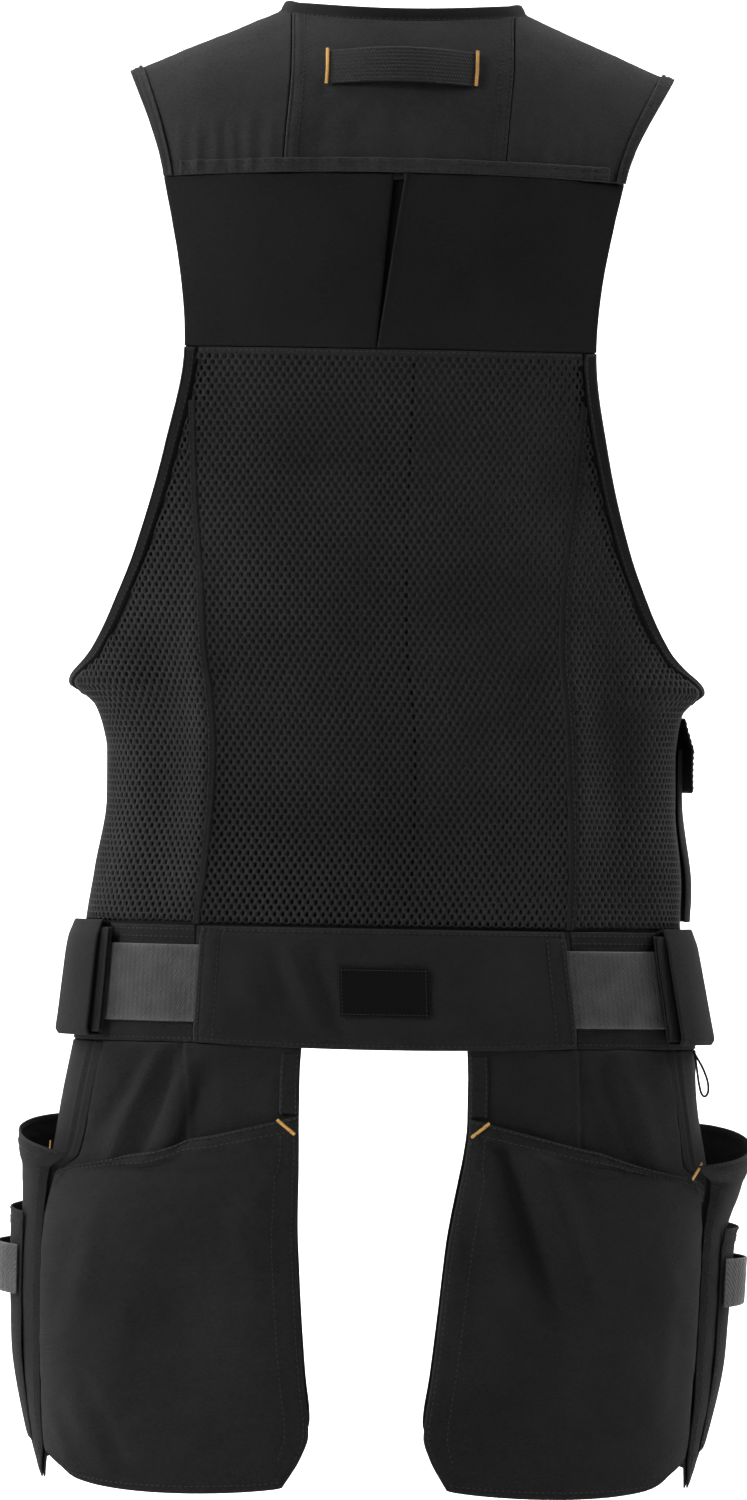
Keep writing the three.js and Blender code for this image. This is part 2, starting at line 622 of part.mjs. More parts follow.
// Webbing, sewn in under the belt panel and fastened in front
const onBand = canvasWall + layerGap * 1.3;
const tabMiddle = webbingDrop + webbingWidth / 2;
const tabFrom = angleAt(tabBackX, -tabMiddle);
const tabTo = tabFrom + turn(tabFrom, -tabMiddle, tabLength);
const inTab = (theta) => {
  const outside = Math.max(tabFrom - Math.abs(theta), Math.abs(theta) - tabTo, 0);
  return 1 - THREE.MathUtils.smoothstep(outside, 0.03, 0.14);
};
const webbingLift = (theta) => onBand + (canvasWall + layerGap) * inTab(theta);
for (const { name, sign } of sides) {
  const start = angleAt(beltPanelTopHalf - webbingTuck, -tabMiddle);
  const end = angleAt(buckleHalfWidth + seamGap * 3, -tabMiddle, 1);
  const theta = (u) => lerp(start, end, u);
  const at = (u, v) => body(sign * theta(u), -lerp(webbingDrop, webbingDrop + webbingWidth, v));
  add(`webbing_${name}`, "webbing", sheet(even(30), even(1), at, (u) => webbingLift(theta(u)), webbingWall));
}

// Belt panel over the webbing, with a blank patch
const overWebbing = onBand + webbingWall + layerGap;
const panelEdges = [0, 0.11, 0.5, 0.89, 1];
const beltPanel = (u, v) => {
  const x = lerp(-1, 1, u) * lerp(beltPanelTopHalf, beltPanelLowHalf, v);
  const low = -beltLow - beltPanelBow * (1 - (2 * u - 1) ** 2);
  return onBody(x + 1e-6, lerp(bandTop - seamGap, low, v));
};
const panelLift = (u, v) => (v < 0.05 || v > 0.95 ? onBand : overWebbing);
add("back_belt_panel", "canvas", sheet(even(16), panelEdges, beltPanel, panelLift, beltPanelWall));

const patchDrop = beltDrop + beltHeight * 0.55;
const patchTop = onBody(1e-6, -patchDrop + patchHeight / 2);
const patchLow = onBody(1e-6, -patchDrop - patchHeight / 2);
const patchBox = new THREE.BoxGeometry(patchWidth, patchWall, patchHeight);
const patch = add("belt_patch", "patch", patchBox);
patch.rotation.x = Math.atan2(patchTop.y - patchLow.y, patchTop.z - patchLow.z) * -1;
const patchOut = new THREE.Vector3(0, -1, 0).applyEuler(patch.rotation);
patch.position
  .addVectors(patchTop, patchLow)
  .divideScalar(2)
  .addScaledVector(patchOut, overWebbing + beltPanelWall + layerGap + patchWall / 2);

// Buckle, fastened, in front
const buckleShape = new THREE.Shape();
const buckleCorner = 5;
const [right, high] = [buckleHalfWidth, buckleHeight / 2];
buckleShape.moveTo(-right + buckleCorner, -high);
buckleShape.lineTo(right - buckleCorner, -high);
buckleShape.quadraticCurveTo(right, -high, right, -high + buckleCorner);
buckleShape.lineTo(right, high - buckleCorner);
buckleShape.quadraticCurveTo(right, high, right - buckleCorner, high);
buckleShape.lineTo(-right + buckleCorner, high);
buckleShape.quadraticCurveTo(-right, high, -right, high - buckleCorner);
buckleShape.lineTo(-right, -high + buckleCorner);
buckleShape.quadraticCurveTo(-right, -high, -right + buckleCorner, -high);
const buckleCut = { depth: buckleWall, bevelEnabled: false, curveSegments: 3 };
const buckle = add("belt_buckle", "plastic", new THREE.ExtrudeGeometry(buckleShape, buckleCut));
const [buckleTop, buckleLow] = [bandTop, bandLow].map((z) => onBody(1e-6, z, 1));
buckle.rotation.x = Math.atan2(buckleTop.y - buckleLow.y, buckleTop.z - buckleLow.z) * -1 - quarter;
buckle.position
  .copy(onBody(1e-6, -tabMiddle, 1))
  .add(new THREE.Vector3(0, 0, 1).applyEuler(buckle.rotation).multiplyScalar(onBand));

// Belt tabs: a canvas sleeve round the webbing at each side, and the folded flap inside it
const tabLoop = [
  { depth: 0, rise: 0 },
  { depth: 0, rise: 0.955 },
  { depth: 0.7, rise: 1 },
  { depth: 1, rise: 0.84 },
  { depth: 1.12, rise: 0.05 },
  { depth: 0.9, rise: 0 },
];
const tabTop = -beltDrop + 2.5;
const tabLow = -beltLow + 3;
function tabPoint(theta, depth, rise, wall) {
  const z = lerp(tabLow + wall, tabTop - wall, rise);
  const out = onBand + lerp(wall, tabDepth - wall, depth);
  return outwards(theta, z, out);
}
for (const { name, sign } of sides) {
  const stations = even(5).map((t) => {
    const theta = sign * lerp(tabFrom, tabTo, t);
    const loop = (wall) => tabLoop.map(({ depth, rise }) => tabPoint(theta, depth, rise, wall));
    return { outer: loop(0), inner: loop(canvasWall) };
  });
  add(`belt_tab_${name}`, "canvas", sleeve(sign > 0 ? stations.toReversed() : stations));
  const overTabWebbing = onBand * 2 + webbingWall + layerGap + canvasWall;
  const flapAt = (u, v) => {
    const run = Math.abs(u * 2 - 1);
    const reach = turn(tabFrom, -tabMiddle, tabFlapReach);
    const z = lerp(tabTop - canvasWall - tabDepth / 3, tabLow + canvasWall + seamGap * 2, v);
    const outer = u < 0.5 ? 0 : 1;
    const theta = sign * lerp(tabTo - reach, tabFrom - reach, run);
    return outwards(theta, z, overTabWebbing + outer * tabFlapSpread);
  };
  add(`belt_tab_flap_${name}`, "hem", sheet(even(10), [0, 1], flapAt, -canvasWall / 2, canvasWall));
}

// Hip panels: one behind, and one round the side to the front, which meet at a crease
const hipZ = (part) => -hip(part);
const hipInner = (part) => straight(hipRows, "part", part, "inner") * gapHalfWidth;
const hipCrease = (part) => straight(hipRows, "part", part, "crease") * hipHalfWidth;
const hipRear = (part) => straight(hipRows, "part", part, "rear") * hipHalfWidth;
const hipParts = hipRows.map((row) => row.part);
const partOf = (z) => (-z - beltLow) / (hemDrop - beltLow);
const inwards = (u) => Math.max(Math.sin(Math.PI * u), 0);
const backAngles = (z) => [angleAt(hipInner(partOf(z)), z), angleAt(hipCrease(partOf(z)), z)];
function sideAngles(z) {
  const rear = angleAt(hipRear(partOf(z)), z);
  const slip = straight(hipRows, "part", partOf(z), "slip") * hemSlip;
  return [rear + turn(rear, z, seamGap + slip), angleAt(hipInner(partOf(z)), z, 1)];
}

// A point of a hip, u from its first angle to its second, with a round hem.
function hipPoint(angles, round, sign, u, z) {
  const [from, to] = angles(Math.max(z, -hemDrop));
  const sunk = z - (round * inwards(u) ** 0.7 - hemRise * u) * clamp((partOf(z) - 0.8) / 0.2, 0, 1);
  return body(sign * lerp(from, to, u), sunk - seamGap);
}
function sideLift({ flare, tuck }, u, z) {
  const part = clamp(partOf(z), 0, 1);
  const drawn = sideTuck * tuck * Math.sin(Math.PI * Math.min(part / 0.3, 1));
  return sideFlare * flare * Math.sin(2.6 * part) * inwards(u) ** 0.8 - drawn * inwards(u) ** 0.5;
}

// Height of a holster's cloth over its panel: open at the mouth, full below, sewn down round the edge.
function pouch(u, v, mouth, full, power) {
  const belly = v < 0.35 ? lerp(mouth, full, v / 0.35) : full * (1 - ((v - 0.35) / 0.65) ** 3);
  return belly * inwards(u) ** power;
}
const onPanel = canvasWall + layerGap;
const rimRows = [
  { u: 0, drop: 0.26 },
  { u: 0.25, drop: 0.225 },
  { u: 0.55, drop: 0.18 },
  { u: 1, drop: 0.15 },
];
const rimZ = (u) => hipZ(smooth(rimRows, "u", u, "drop"));

// Shares down a holster: below the join it follows the same rows as its panel.
const joinPart = 0.48;
const holsterVs = [0, 0.08, 0.2, 0.34, ...hipParts.filter((part) => part >= joinPart)];
const levelFrom = (top, v) => (v < joinPart ? lerp(top, hipZ(joinPart), v / joinPart) : hipZ(v));
const acrossHolster = [0, 0.05, 0.14, 0.3, 0.5, 0.7, 0.86, 0.95, 1];
const acrossSide = [0, 0.04, 0.09, 0.2, 0.36, 0.46, 0.56, 0.72, 0.87, 0.96, 1];
function between(values, low, high) {
  const inside = values.filter((value) => value >= low && value <= high);
  return mapped(inside, low, high);
}

for (const side of sides) {
  const { name, sign } = side;
  const panel = (angles, round) => (u, v) => hipPoint(angles, round, sign, u, hipZ(v));
  const backPanel = sheet(acrossHolster, hipParts, panel(backAngles, backRound), 0, canvasWall);
  add(`hip_back_panel_${name}`, "canvas", backPanel);
  const flare = (u, v) => sideLift(side, u, hipZ(v));
  const sidePanel = sheet(acrossSide, hipParts, panel(sideAngles, sideRound), flare, canvasWall);
  add(`hip_side_panel_${name}`, "canvas", sidePanel);

  const holsterTop = (u) => -lerp(holsterInnerDrop, holsterOuterDrop, u);
  const holster = (u, v) => hipPoint(backAngles, backRound, sign, u, levelFrom(holsterTop(u), v));
  const holsterLift = (u, v) => onPanel + pouch(u, v, holsterMouth, holsterPuff, 0.45);
  add(`back_holster_${name}`, "canvas", sheet(acrossHolster, holsterVs, holster, holsterLift, canvasWall));

  const sideZ = (u, v) => levelFrom(rimZ(u), v);
  const sideHolster = (u, v) => hipPoint(sideAngles, sideRound, sign, u, sideZ(u, v));
  const sideHeight = (u, v) => {
    const bag = pouch(u, v, sideMouth * side.mouth, sideMouth * 0.45, 0.3);
    return onPanel + sideLift(side, u, sideZ(u, v)) + bag;
  };
  add(`side_holster_${name}`, "canvas", sheet(acrossSide, holsterVs, sideHolster, sideHeight, canvasWall));

  // A lower pocket on the side holster, with a webbing loop for tools over it
  const onSide = canvasWall + layerGap;
  const pocketHeightBelow = hip(0.93) - hip(0.39);
  const [pocketFrom, pocketTo, pocketTop, pocketLow] = [0.09, 0.87, 0.32, 0.93];
  const pocketU = (u) => lerp(pocketFrom, pocketTo, u);
  const pocketV = (u, v) => lerp(pocketTop, pocketLow, v);
  const pocket = (u, v) => sideHolster(pocketU(u), pocketV(u, v));
  const pocketHeight = (u, v) =>
    sideHeight(pocketU(u), pocketV(u, v)) + onSide + sidePocketPuff * inwards(u) ** 0.6 * (1 - v) ** 0.7;
  const pocketUs = between(acrossSide, pocketFrom, pocketTo);
  const pocketVs = [0, ...between(holsterVs, pocketTop, pocketLow)];
  add(`side_pocket_${name}`, "canvas", sheet(pocketUs, pocketVs, pocket, pocketHeight, canvasWall));

  // Sewn down at both ends and in the middle, on columns of the pocket.
  const [pin, middle, last] = [0, 2, 4].map((i) => pocketUs[i]);
  const strapU = (u) => (u < 0.5 ? lerp(pin, middle, u * 2) : lerp(middle, last, u * 2 - 1));
  const strapV = (u, v) => lerp(0.24, 0.17, u) + (v * toolLoopWidth) / pocketHeightBelow;
  const strap = (u, v) => pocket(strapU(u), strapV(u, v));
  const strapHeight = (u, v) =>
    pocketHeight(strapU(u), strapV(u, v)) + onSide + toolLoopBow * Math.abs(Math.sin(2 * Math.PI * u)) ** 0.8;
  add(`tool_loop_${name}`, "webbing", sheet(even(12), even(1), strap, strapHeight, webbingWall));

  // Stitched strip down the inner edge, from the belt to the holster
  const stripLow = partOf(-holsterInnerDrop + seamGap * 3);
  const strip = (u, v) => {
    const z = hipZ(lerp(0.02, stripLow, v));
    return onBody(sign * (hipInner(partOf(z)) + u * edgeStripWidth), z - seamGap);
  };
  add(`hip_edge_strip_${name}`, "hem", sheet(even(1), even(3), strip, onPanel, canvasWall));

  const holsterTack = [
    { x: sign * (gapHalfWidth + 1.5), drop: holsterInnerDrop + 12 },
    { x: sign * (gapHalfWidth + 1.5 + tackLength * 0.78), drop: holsterInnerDrop + 3 },
  ];
  const tackHeight = onPanel + canvasWall + layerGap + 2.6;
  add(`holster_tack_${name}`, "thread", tack(holsterTack[0], holsterTack[1], tackHeight));
}

// Chest pocket with a flap, on the right front only
const chestFrom = sideSeam + 0.04;
const chestTo = degToRad(132);
const chestTop = chestPocketDrop + 8;
const chestPocket = (u, v) => body(lerp(chestFrom, chestTo, u), -lerp(chestTop, beltDrop - 6, v));
const chestHeight = (u, v) => {
  const belly = lerp(0.6, 1, Math.min(v / 0.8, 2.2 - v / 0.8));
  return onPanel + chestPocketPuff * belly * inwards(u) ** 0.35;
};
const acrossChest = [0, 0.07, 0.2, 0.4, 0.6, 0.8, 0.93, 1];
add("chest_pocket", "canvas", sheet(acrossChest, even(4), chestPocket, chestHeight, canvasWall));
const flap = (u, v) => body(lerp(chestFrom - 0.01, chestTo + 0.02, u), -(chestFlapDrop + v * chestFlapHeight));
const flapReach = chestPocketPuff * 0.6 + canvasWall + layerGap + 3;
const flapHeight = (u, v) => onPanel + flapReach * Math.min(1, v * 2.4 + 0.02);
add("chest_pocket_flap", "canvas", sheet(even(6), [0, 0.2, 0.42, 1], flap, flapHeight, canvasWall * 1.6));

// Cord loop that hangs free from under the right belt tab: drop below the belt, how far round from the middle
// of the tab, and height over the hip.
const cordRows = [
  { fall: 1, round: -3, out: 2.1 },
  { fall: 7, round: -3.4, out: 4 },
  { fall: 14, round: -4, out: 6.5 },
  { fall: 21, round: -4.4, out: 8.5 },
  { fall: 27, round: -4.2, out: 9.3 },
  { fall: 31, round: -2, out: 8 },
  { fall: 29, round: 0.6, out: 6 },
  { fall: 23, round: 1.4, out: 5 },
  { fall: 15, round: 1.2, out: 4 },
  { fall: 8, round: 0.6, out: 3 },
  { fall: 1, round: 0, out: 2.1 },
];
const cordPoints = cordRows.map(({ fall, round, out }) => {
  const z = -beltLow - fall;
  const middle = degToRad(77);
  return outwards(middle + turn(middle, z, round), z, out);
});
const cordSides = 6;
const cordCorners = even(cordSides)
  .slice(1)
  .map((t) => new THREE.Vector2(Math.cos(2 * Math.PI * t), Math.sin(2 * Math.PI * t)));
const cordSection = new THREE.Shape(cordCorners.map((corner) => corner.multiplyScalar(cordDiameter / 2)));
const cordPath = new THREE.CatmullRomCurve3(cordPoints);
add("pull_cord", "plastic", new THREE.ExtrudeGeometry(cordSection, { steps: 18, extrudePath: cordPath }));

export default vest;
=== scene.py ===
import math
from types import SimpleNamespace

import bpy
import numpy as np
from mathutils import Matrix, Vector


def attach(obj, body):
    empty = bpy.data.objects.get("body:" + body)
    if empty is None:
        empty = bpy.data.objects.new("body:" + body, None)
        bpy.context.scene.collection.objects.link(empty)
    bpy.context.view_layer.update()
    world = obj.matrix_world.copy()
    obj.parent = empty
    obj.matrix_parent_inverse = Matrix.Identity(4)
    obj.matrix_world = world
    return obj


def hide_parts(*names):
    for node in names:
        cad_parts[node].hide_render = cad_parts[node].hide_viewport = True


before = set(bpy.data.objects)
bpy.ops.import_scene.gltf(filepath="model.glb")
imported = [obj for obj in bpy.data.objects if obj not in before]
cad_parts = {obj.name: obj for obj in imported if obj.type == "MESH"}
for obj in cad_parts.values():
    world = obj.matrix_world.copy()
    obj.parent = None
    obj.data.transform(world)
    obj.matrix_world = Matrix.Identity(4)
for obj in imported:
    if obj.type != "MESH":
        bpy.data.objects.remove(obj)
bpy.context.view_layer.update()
root = "root"

# Sizes are in millimetres up to the point where a mesh is made.

# Camera
camera = {"x": -10.7, "z": -474.4, "distance": 12000, "seenHeight": 975, "roll": 1.04}
cameraData = bpy.data.cameras.new("camera")
cameraData.sensor_width = 36
cameraData.lens = 36 * camera["distance"] / camera["seenHeight"]
cameraData.clip_end = 60
cameraObject = bpy.data.objects.new("camera", cameraData)
cameraObject.location = (camera["x"] / 1000, -camera["distance"] / 1000, camera["z"] / 1000)
cameraObject.rotation_euler = (math.pi / 2, -math.radians(camera["roll"]), 0)
bpy.context.scene.collection.objects.link(cameraObject)
bpy.context.scene.camera = cameraObject

# Body form
# The vest hangs on one form: theta is 0 at the middle of the back and pi in front, z is the height.
form = {
    "backDepth": 120, "frontDepth": 112, "sway": 8, "bodyPower": 2.4, "shoulderPower": 2.2,
    "shoulderSlope": 0.433, "neckCrown": 21, "neckDrop": 3.3, "neckHalf": 80, "armpitHalf": 204,
    "waistHalf": 183, "beltHalf": 191.5, "hipHalf": 209, "gapHalf": 55,
}
drops = {
    "shoulder": 38, "yoke": 107, "net": 216, "armpit": 433, "belt": 589, "beltLow": 665, "hem": 950,
    "frontYoke": 98, "zip": 190, "netSeam": 248,
}
seamGap = 0.5
canvasWall, stretchWall, netWall, webbingWall, bindingWall = 1.3, 1.4, 1.8, 1.8, 2.6
onCloth = canvasWall + 0.5  # height of a second layer of cloth
angleStep = 0.01  # small turn round the form, for slopes
sides = (("left", -1), ("right", 1))


def lerp(a, b, part):
    return a + (b - a) * part


def chest(part):
    return lerp(drops["net"], drops["armpit"], part)


def waist(part):
    return lerp(drops["armpit"], drops["belt"], part)


def hip(part):
    return lerp(drops["beltLow"], drops["hem"], part)


def smoothStep(value, low, high):
    t = np.clip((value - low) / (high - low), 0, 1)
    return t * t * (3 - 2 * t)


def curveThrough(xs, ys):
    xs, ys = np.asarray(xs, float), np.asarray(ys, float)
    slope = np.diff(ys) / np.diff(xs)
    before, after = np.r_[slope[0], slope], np.r_[slope, slope[-1]]
    product = before * after
    tangent = np.where(product > 0, 2 * product / np.where(product > 0, before + after, 1), 0)

    def at(x):
        x = np.clip(x, xs[0], xs[-1])
        i = np.clip(np.searchsorted(xs, x, "right") - 1, 0, len(xs) - 2)
        span = xs[i + 1] - xs[i]
        t = (x - xs[i]) / span
        keep = (1 + 2 * t) * (1 - t) ** 2
        pull = span * t * (1 - t) * ((1 - t) * tangent[i] - t * tangent[i + 1])
        return keep * ys[i] + (1 - keep) * ys[i + 1] + pull

    return at


armpit, waistHalf, hipHalf = form["armpitHalf"], form["waistHalf"], form["hipHalf"]
sections = [  # drop, half width of the outline, its share of the form's own, back, front, sway
    (drops["shoulder"], 176, 0.82, 0.99, 0.93, 0), (drops["yoke"], 148.5, 0.7, 0.99, 0.97, -0.5),
    (drops["net"], 132.5, 0.63, 1, 1, -0.56),
    (chest(0.3), 0.7 * armpit, 0.7, 0.975, 1, -0.75), (chest(0.594), 0.78 * armpit, 0.8, 0.94, 0.99, -0.85),
    (chest(0.747), 0.84 * armpit, 0.87, 0.925, 0.98, -0.85),
    (chest(0.88), 0.905 * armpit, 0.935, 0.91, 0.97, -0.75),
    (chest(0.94), 0.95 * armpit, 0.975, 0.9, 0.965, -0.6), (drops["armpit"], armpit, 1, 0.89, 0.96, -0.35),
    (waist(0.04), 1.078 * waistHalf, 1, 0.885, 0.955, -0.25),
    (waist(0.09), 1.036 * waistHalf, 1, 0.88, 0.95, -0.15),
    (waist(0.18), 1.012 * waistHalf, 1, 0.87, 0.945, 0), (waist(0.28), waistHalf, 1, 0.86, 0.94, 0.1),
    (waist(0.48), waistHalf, 1, 0.85, 0.93, 0.15), (waist(0.78), 1.032 * waistHalf, 1, 0.86, 0.92, 0),
    (drops["belt"], form["beltHalf"], 1, 0.875, 0.91, -0.3),
    (drops["beltLow"], 0.962 * hipHalf, 1, 0.9, 0.92, 0),
    (hip(0.18), 0.985 * hipHalf, 1, 0.93, 0.94, 0), (hip(0.48), hipHalf, 1, 0.955, 0.95, -0.75),
    (hip(1), 0.99 * hipHalf, 1, 0.98, 0.96, -1),
]
sectionDrop, outline, reach, backShare, frontShare, swayShare = zip(*sections)
outlineCurve = curveThrough(sectionDrop, outline)
reachCurve = curveThrough(sectionDrop, reach)
backCurve = curveThrough(sectionDrop, backShare)
frontCurve = curveThrough(sectionDrop, frontShare)
swayCurve = curveThrough(sectionDrop, swayShare)

# Broad folds of the form: side, x from and to, drop from and to, width and height.
broadFolds = [
    (0, 116.8, 342, 120.6, 589, 8.8, 4), (0, 145.5, 380, 147.5, 589, 17.6, -8),
    (-1, 126.4, 669.8, 153.2, 745.8, 9.6, 4.4), (-1, 114.9, 674.5, 130.2, 745.8, 9.6, -3.6),
    (1, 126.4, 669.8, 147.5, 745.8, 11.2, -3.6),
]


def edgeAt(z):
    return outlineCurve(-z)


def halfAt(z):
    return outlineCurve(-z) / reachCurve(-z)


def shoulderLine(x):
    out = np.abs(x)
    crown = form["neckDrop"] + form["neckCrown"] * (1 - (out / form["neckHalf"]) ** 2)
    slope = form["neckDrop"] - form["shoulderSlope"] * (out - form["neckHalf"])
    return np.where(out > form["neckHalf"], slope, crown)


domeLevel = -lerp(drops["yoke"], drops["net"], 0.4)


def dome(x, z):
    climb = np.clip((z - domeLevel) / (shoulderLine(x) - domeLevel), 0, 1)
    return np.maximum(1 - climb ** form["shoulderPower"], 0) ** (1 / form["shoulderPower"])


def foldAt(x, z):
    height = np.zeros_like(x + z)
    for side, topX, topDrop, lowX, lowDrop, wide, high in broadFolds:
        along = np.clip((-z - topDrop) / (lowDrop - topDrop), 0, 1)
        aside = (np.abs(x) - lerp(topX, lowX, along)) / wide
        fold = high * np.sin(np.pi * along) ** 0.7 * np.exp(-aside ** 2)
        height = height + np.where(side * x < 0, 0, fold)
    return height


def body(theta, z):
    theta, z = np.broadcast_arrays(np.asarray(theta, float), np.asarray(z, float))
    s, c = np.sin(theta), np.cos(theta)
    power = form["bodyPower"]
    rounded = (np.abs(s) ** power + np.abs(c) ** power) ** (-1 / power)
    half = halfAt(z)
    depth = np.where(c > 0, form["backDepth"] * backCurve(-z), form["frontDepth"] * frontCurve(-z))
    x = half * s * rounded
    y = -depth * c * rounded * dome(x, z)
    out = np.stack([x / half ** 2, y / depth ** 2, np.zeros_like(x)], -1)
    out = out / np.maximum(np.linalg.norm(out, axis=-1, keepdims=True), 1e-9)
    spot = np.stack([x + form["sway"] * swayCurve(-z), y, z], -1)
    return spot + out * (foldAt(x, z) * np.clip(c / 0.25, 0, 1))[..., None]


def angleAt(x, z, face=-1):
    power = form["bodyPower"]
    across = np.minimum(np.abs(x) / halfAt(z), 1)
    angle = np.arctan2(across, (1 - across ** power) ** (1 / power))
    return np.where(np.asarray(x) < 0, -1, 1) * np.where(np.asarray(face) < 0, angle, np.pi - angle)


def onBody(x, z, face=-1):
    return body(angleAt(x, z, face), z)


def outwards(theta, z, distance):
    across = body(theta + angleStep, z) - body(theta - angleStep, z)
    out = np.stack([across[..., 1], -across[..., 0], np.zeros_like(across[..., 0])], -1)
    return body(theta, z) + unit(out) * np.asarray(distance)[..., None]


def turn(theta, z, distance):
    span = np.linalg.norm(body(theta + angleStep, z) - body(theta - angleStep, z), axis=-1)
    return distance * 2 * angleStep / span


def unit(v):
    return v / np.maximum(np.linalg.norm(v, axis=-1, keepdims=True), 1e-9)


def softNoise(x, z, cell, seed):
    table = np.random.default_rng(seed).uniform(-1, 1, (64, 64))
    gx, gz = np.asarray(x) / cell, np.asarray(z) / cell
    ix, iz = np.floor(gx).astype(int), np.floor(gz).astype(int)
    fx, fz = smoothStep(gx - ix, 0, 1), smoothStep(gz - iz, 0, 1)
    top = lerp(table[ix % 64, iz % 64], table[(ix + 1) % 64, iz % 64], fx)
    low = lerp(table[ix % 64, (iz + 1) % 64], table[(ix + 1) % 64, (iz + 1) % 64], fx)
    return lerp(top, low, fz)


def creases(p, rows):
    height = np.zeros(p.shape[:-1])
    for fromX, fromZ, toX, toZ, wide, high in rows:
        runX, runZ = toX - fromX, toZ - fromZ
        length = math.hypot(runX, runZ)
        along = ((p[..., 0] - fromX) * runX + (p[..., 2] - fromZ) * runZ) / length ** 2
        aside = ((p[..., 0] - fromX) * runZ - (p[..., 2] - fromZ) * runX) / length
        ends = np.sin(np.pi * np.clip(along, 0, 1)) ** 0.8
        height += high * ends * np.exp(-(aside / wide) ** 2)
    return height


print("body form ready")

# Materials


def newGroup(name, inputs, outputs):
    group = bpy.data.node_groups.new(name, "ShaderNodeTree")
    for socketName, kind, value in inputs:
        socket = group.interface.new_socket(name=socketName, in_out="INPUT", socket_type=kind)
        if value is not None:
            socket.default_value = value
    for socketName, kind in outputs:
        group.interface.new_socket(name=socketName, in_out="OUTPUT", socket_type=kind)
    return group, group.nodes.new("NodeGroupInput"), group.nodes.new("NodeGroupOutput")


def mathNode(tree, operation, a, b=None):
    node = tree.nodes.new("ShaderNodeMath")
    node.operation = operation
    for i, value in enumerate([a, b]):
        if value is None:
            continue
        if isinstance(value, (int, float)):
            node.inputs[i].default_value = value
        else:
            tree.links.new(value, node.inputs[i])
    return node.outputs[0]


def makeWeave():
    group, given, out = newGroup(
        "threadWeave", [("Coordinate", "NodeSocketVector", None), ("Threads", "NodeSocketFloat", 1600),
         ("Slant", "NodeSocketFloat", 0)],
        [("Height", "NodeSocketFloat"), ("PaintedGapShade", "NodeSocketFloat")],
    )
    parts = group.nodes.new("ShaderNodeSeparateXYZ")
    group.links.new(given.outputs["Coordinate"], parts.inputs[0])
    turns = mathNode(group, "MULTIPLY", given.outputs["Threads"], math.pi)
    x = mathNode(group, "MULTIPLY", parts.outputs[0], turns)
    y = mathNode(group, "MULTIPLY", parts.outputs[1], turns)
    lean = mathNode(group, "MULTIPLY", y, given.outputs["Slant"])
    across = mathNode(group, "SINE", mathNode(group, "ADD", x, lean))
    down = mathNode(group, "SINE", y)
    weave = mathNode(group, "MULTIPLY", across, down)
    height = mathNode(group, "ADD", mathNode(group, "MULTIPLY", weave, 0.5), 0.5)
    group.links.new(height, out.inputs["Height"])
    # The second output is painted shade for the hollows between threads: it rises where the weave is low.
    group.links.new(mathNode(group, "POWER", mathNode(group, "SUBTRACT", 1.0, height), 3.0),
                    out.inputs["PaintedGapShade"])
    return group


def makeMottle():
    group, given, out = newGroup(
        "clothMottle", [("Coordinate", "NodeSocketVector", None), ("Speck", "NodeSocketFloat", 900),
         ("Cloud", "NodeSocketFloat", 14), ("Edge", "NodeSocketFloat", 0)],
        [("Tone", "NodeSocketFloat"), ("Speck", "NodeSocketFloat")],
    )

    def noise(at, scale, detail):
        node = group.nodes.new("ShaderNodeTexNoise")
        group.links.new(at, node.inputs["Vector"])
        group.links.new(scale, node.inputs["Scale"])
        node.inputs["Detail"].default_value = detail
        return node.outputs["Fac"]

    slubs = group.nodes.new("ShaderNodeVectorMath")  # specks are wider than they are high
    slubs.operation = "MULTIPLY"
    slubs.inputs[1].default_value = (0.55, 0.55, 1.5)
    group.links.new(given.outputs["Coordinate"], slubs.inputs[0])
    speck = noise(slubs.outputs[0], given.outputs["Speck"], 2)
    cloud = noise(given.outputs["Coordinate"], given.outputs["Cloud"], 3)
    mixed = mathNode(group, "ADD", mathNode(group, "MULTIPLY", speck, 0.6),
                     mathNode(group, "MULTIPLY", cloud, 0.4))
    raised = mathNode(group, "MULTIPLY", mathNode(group, "SUBTRACT", mixed, 0.5), 1.9)
    tone = mathNode(group, "ADD", mathNode(group, "ADD", raised, 0.5), given.outputs["Edge"])
    group.links.new(tone, out.inputs["Tone"])
    group.links.new(speck, out.inputs["Speck"])
    return group


weaveGroup, mottleGroup = makeWeave(), makeMottle()


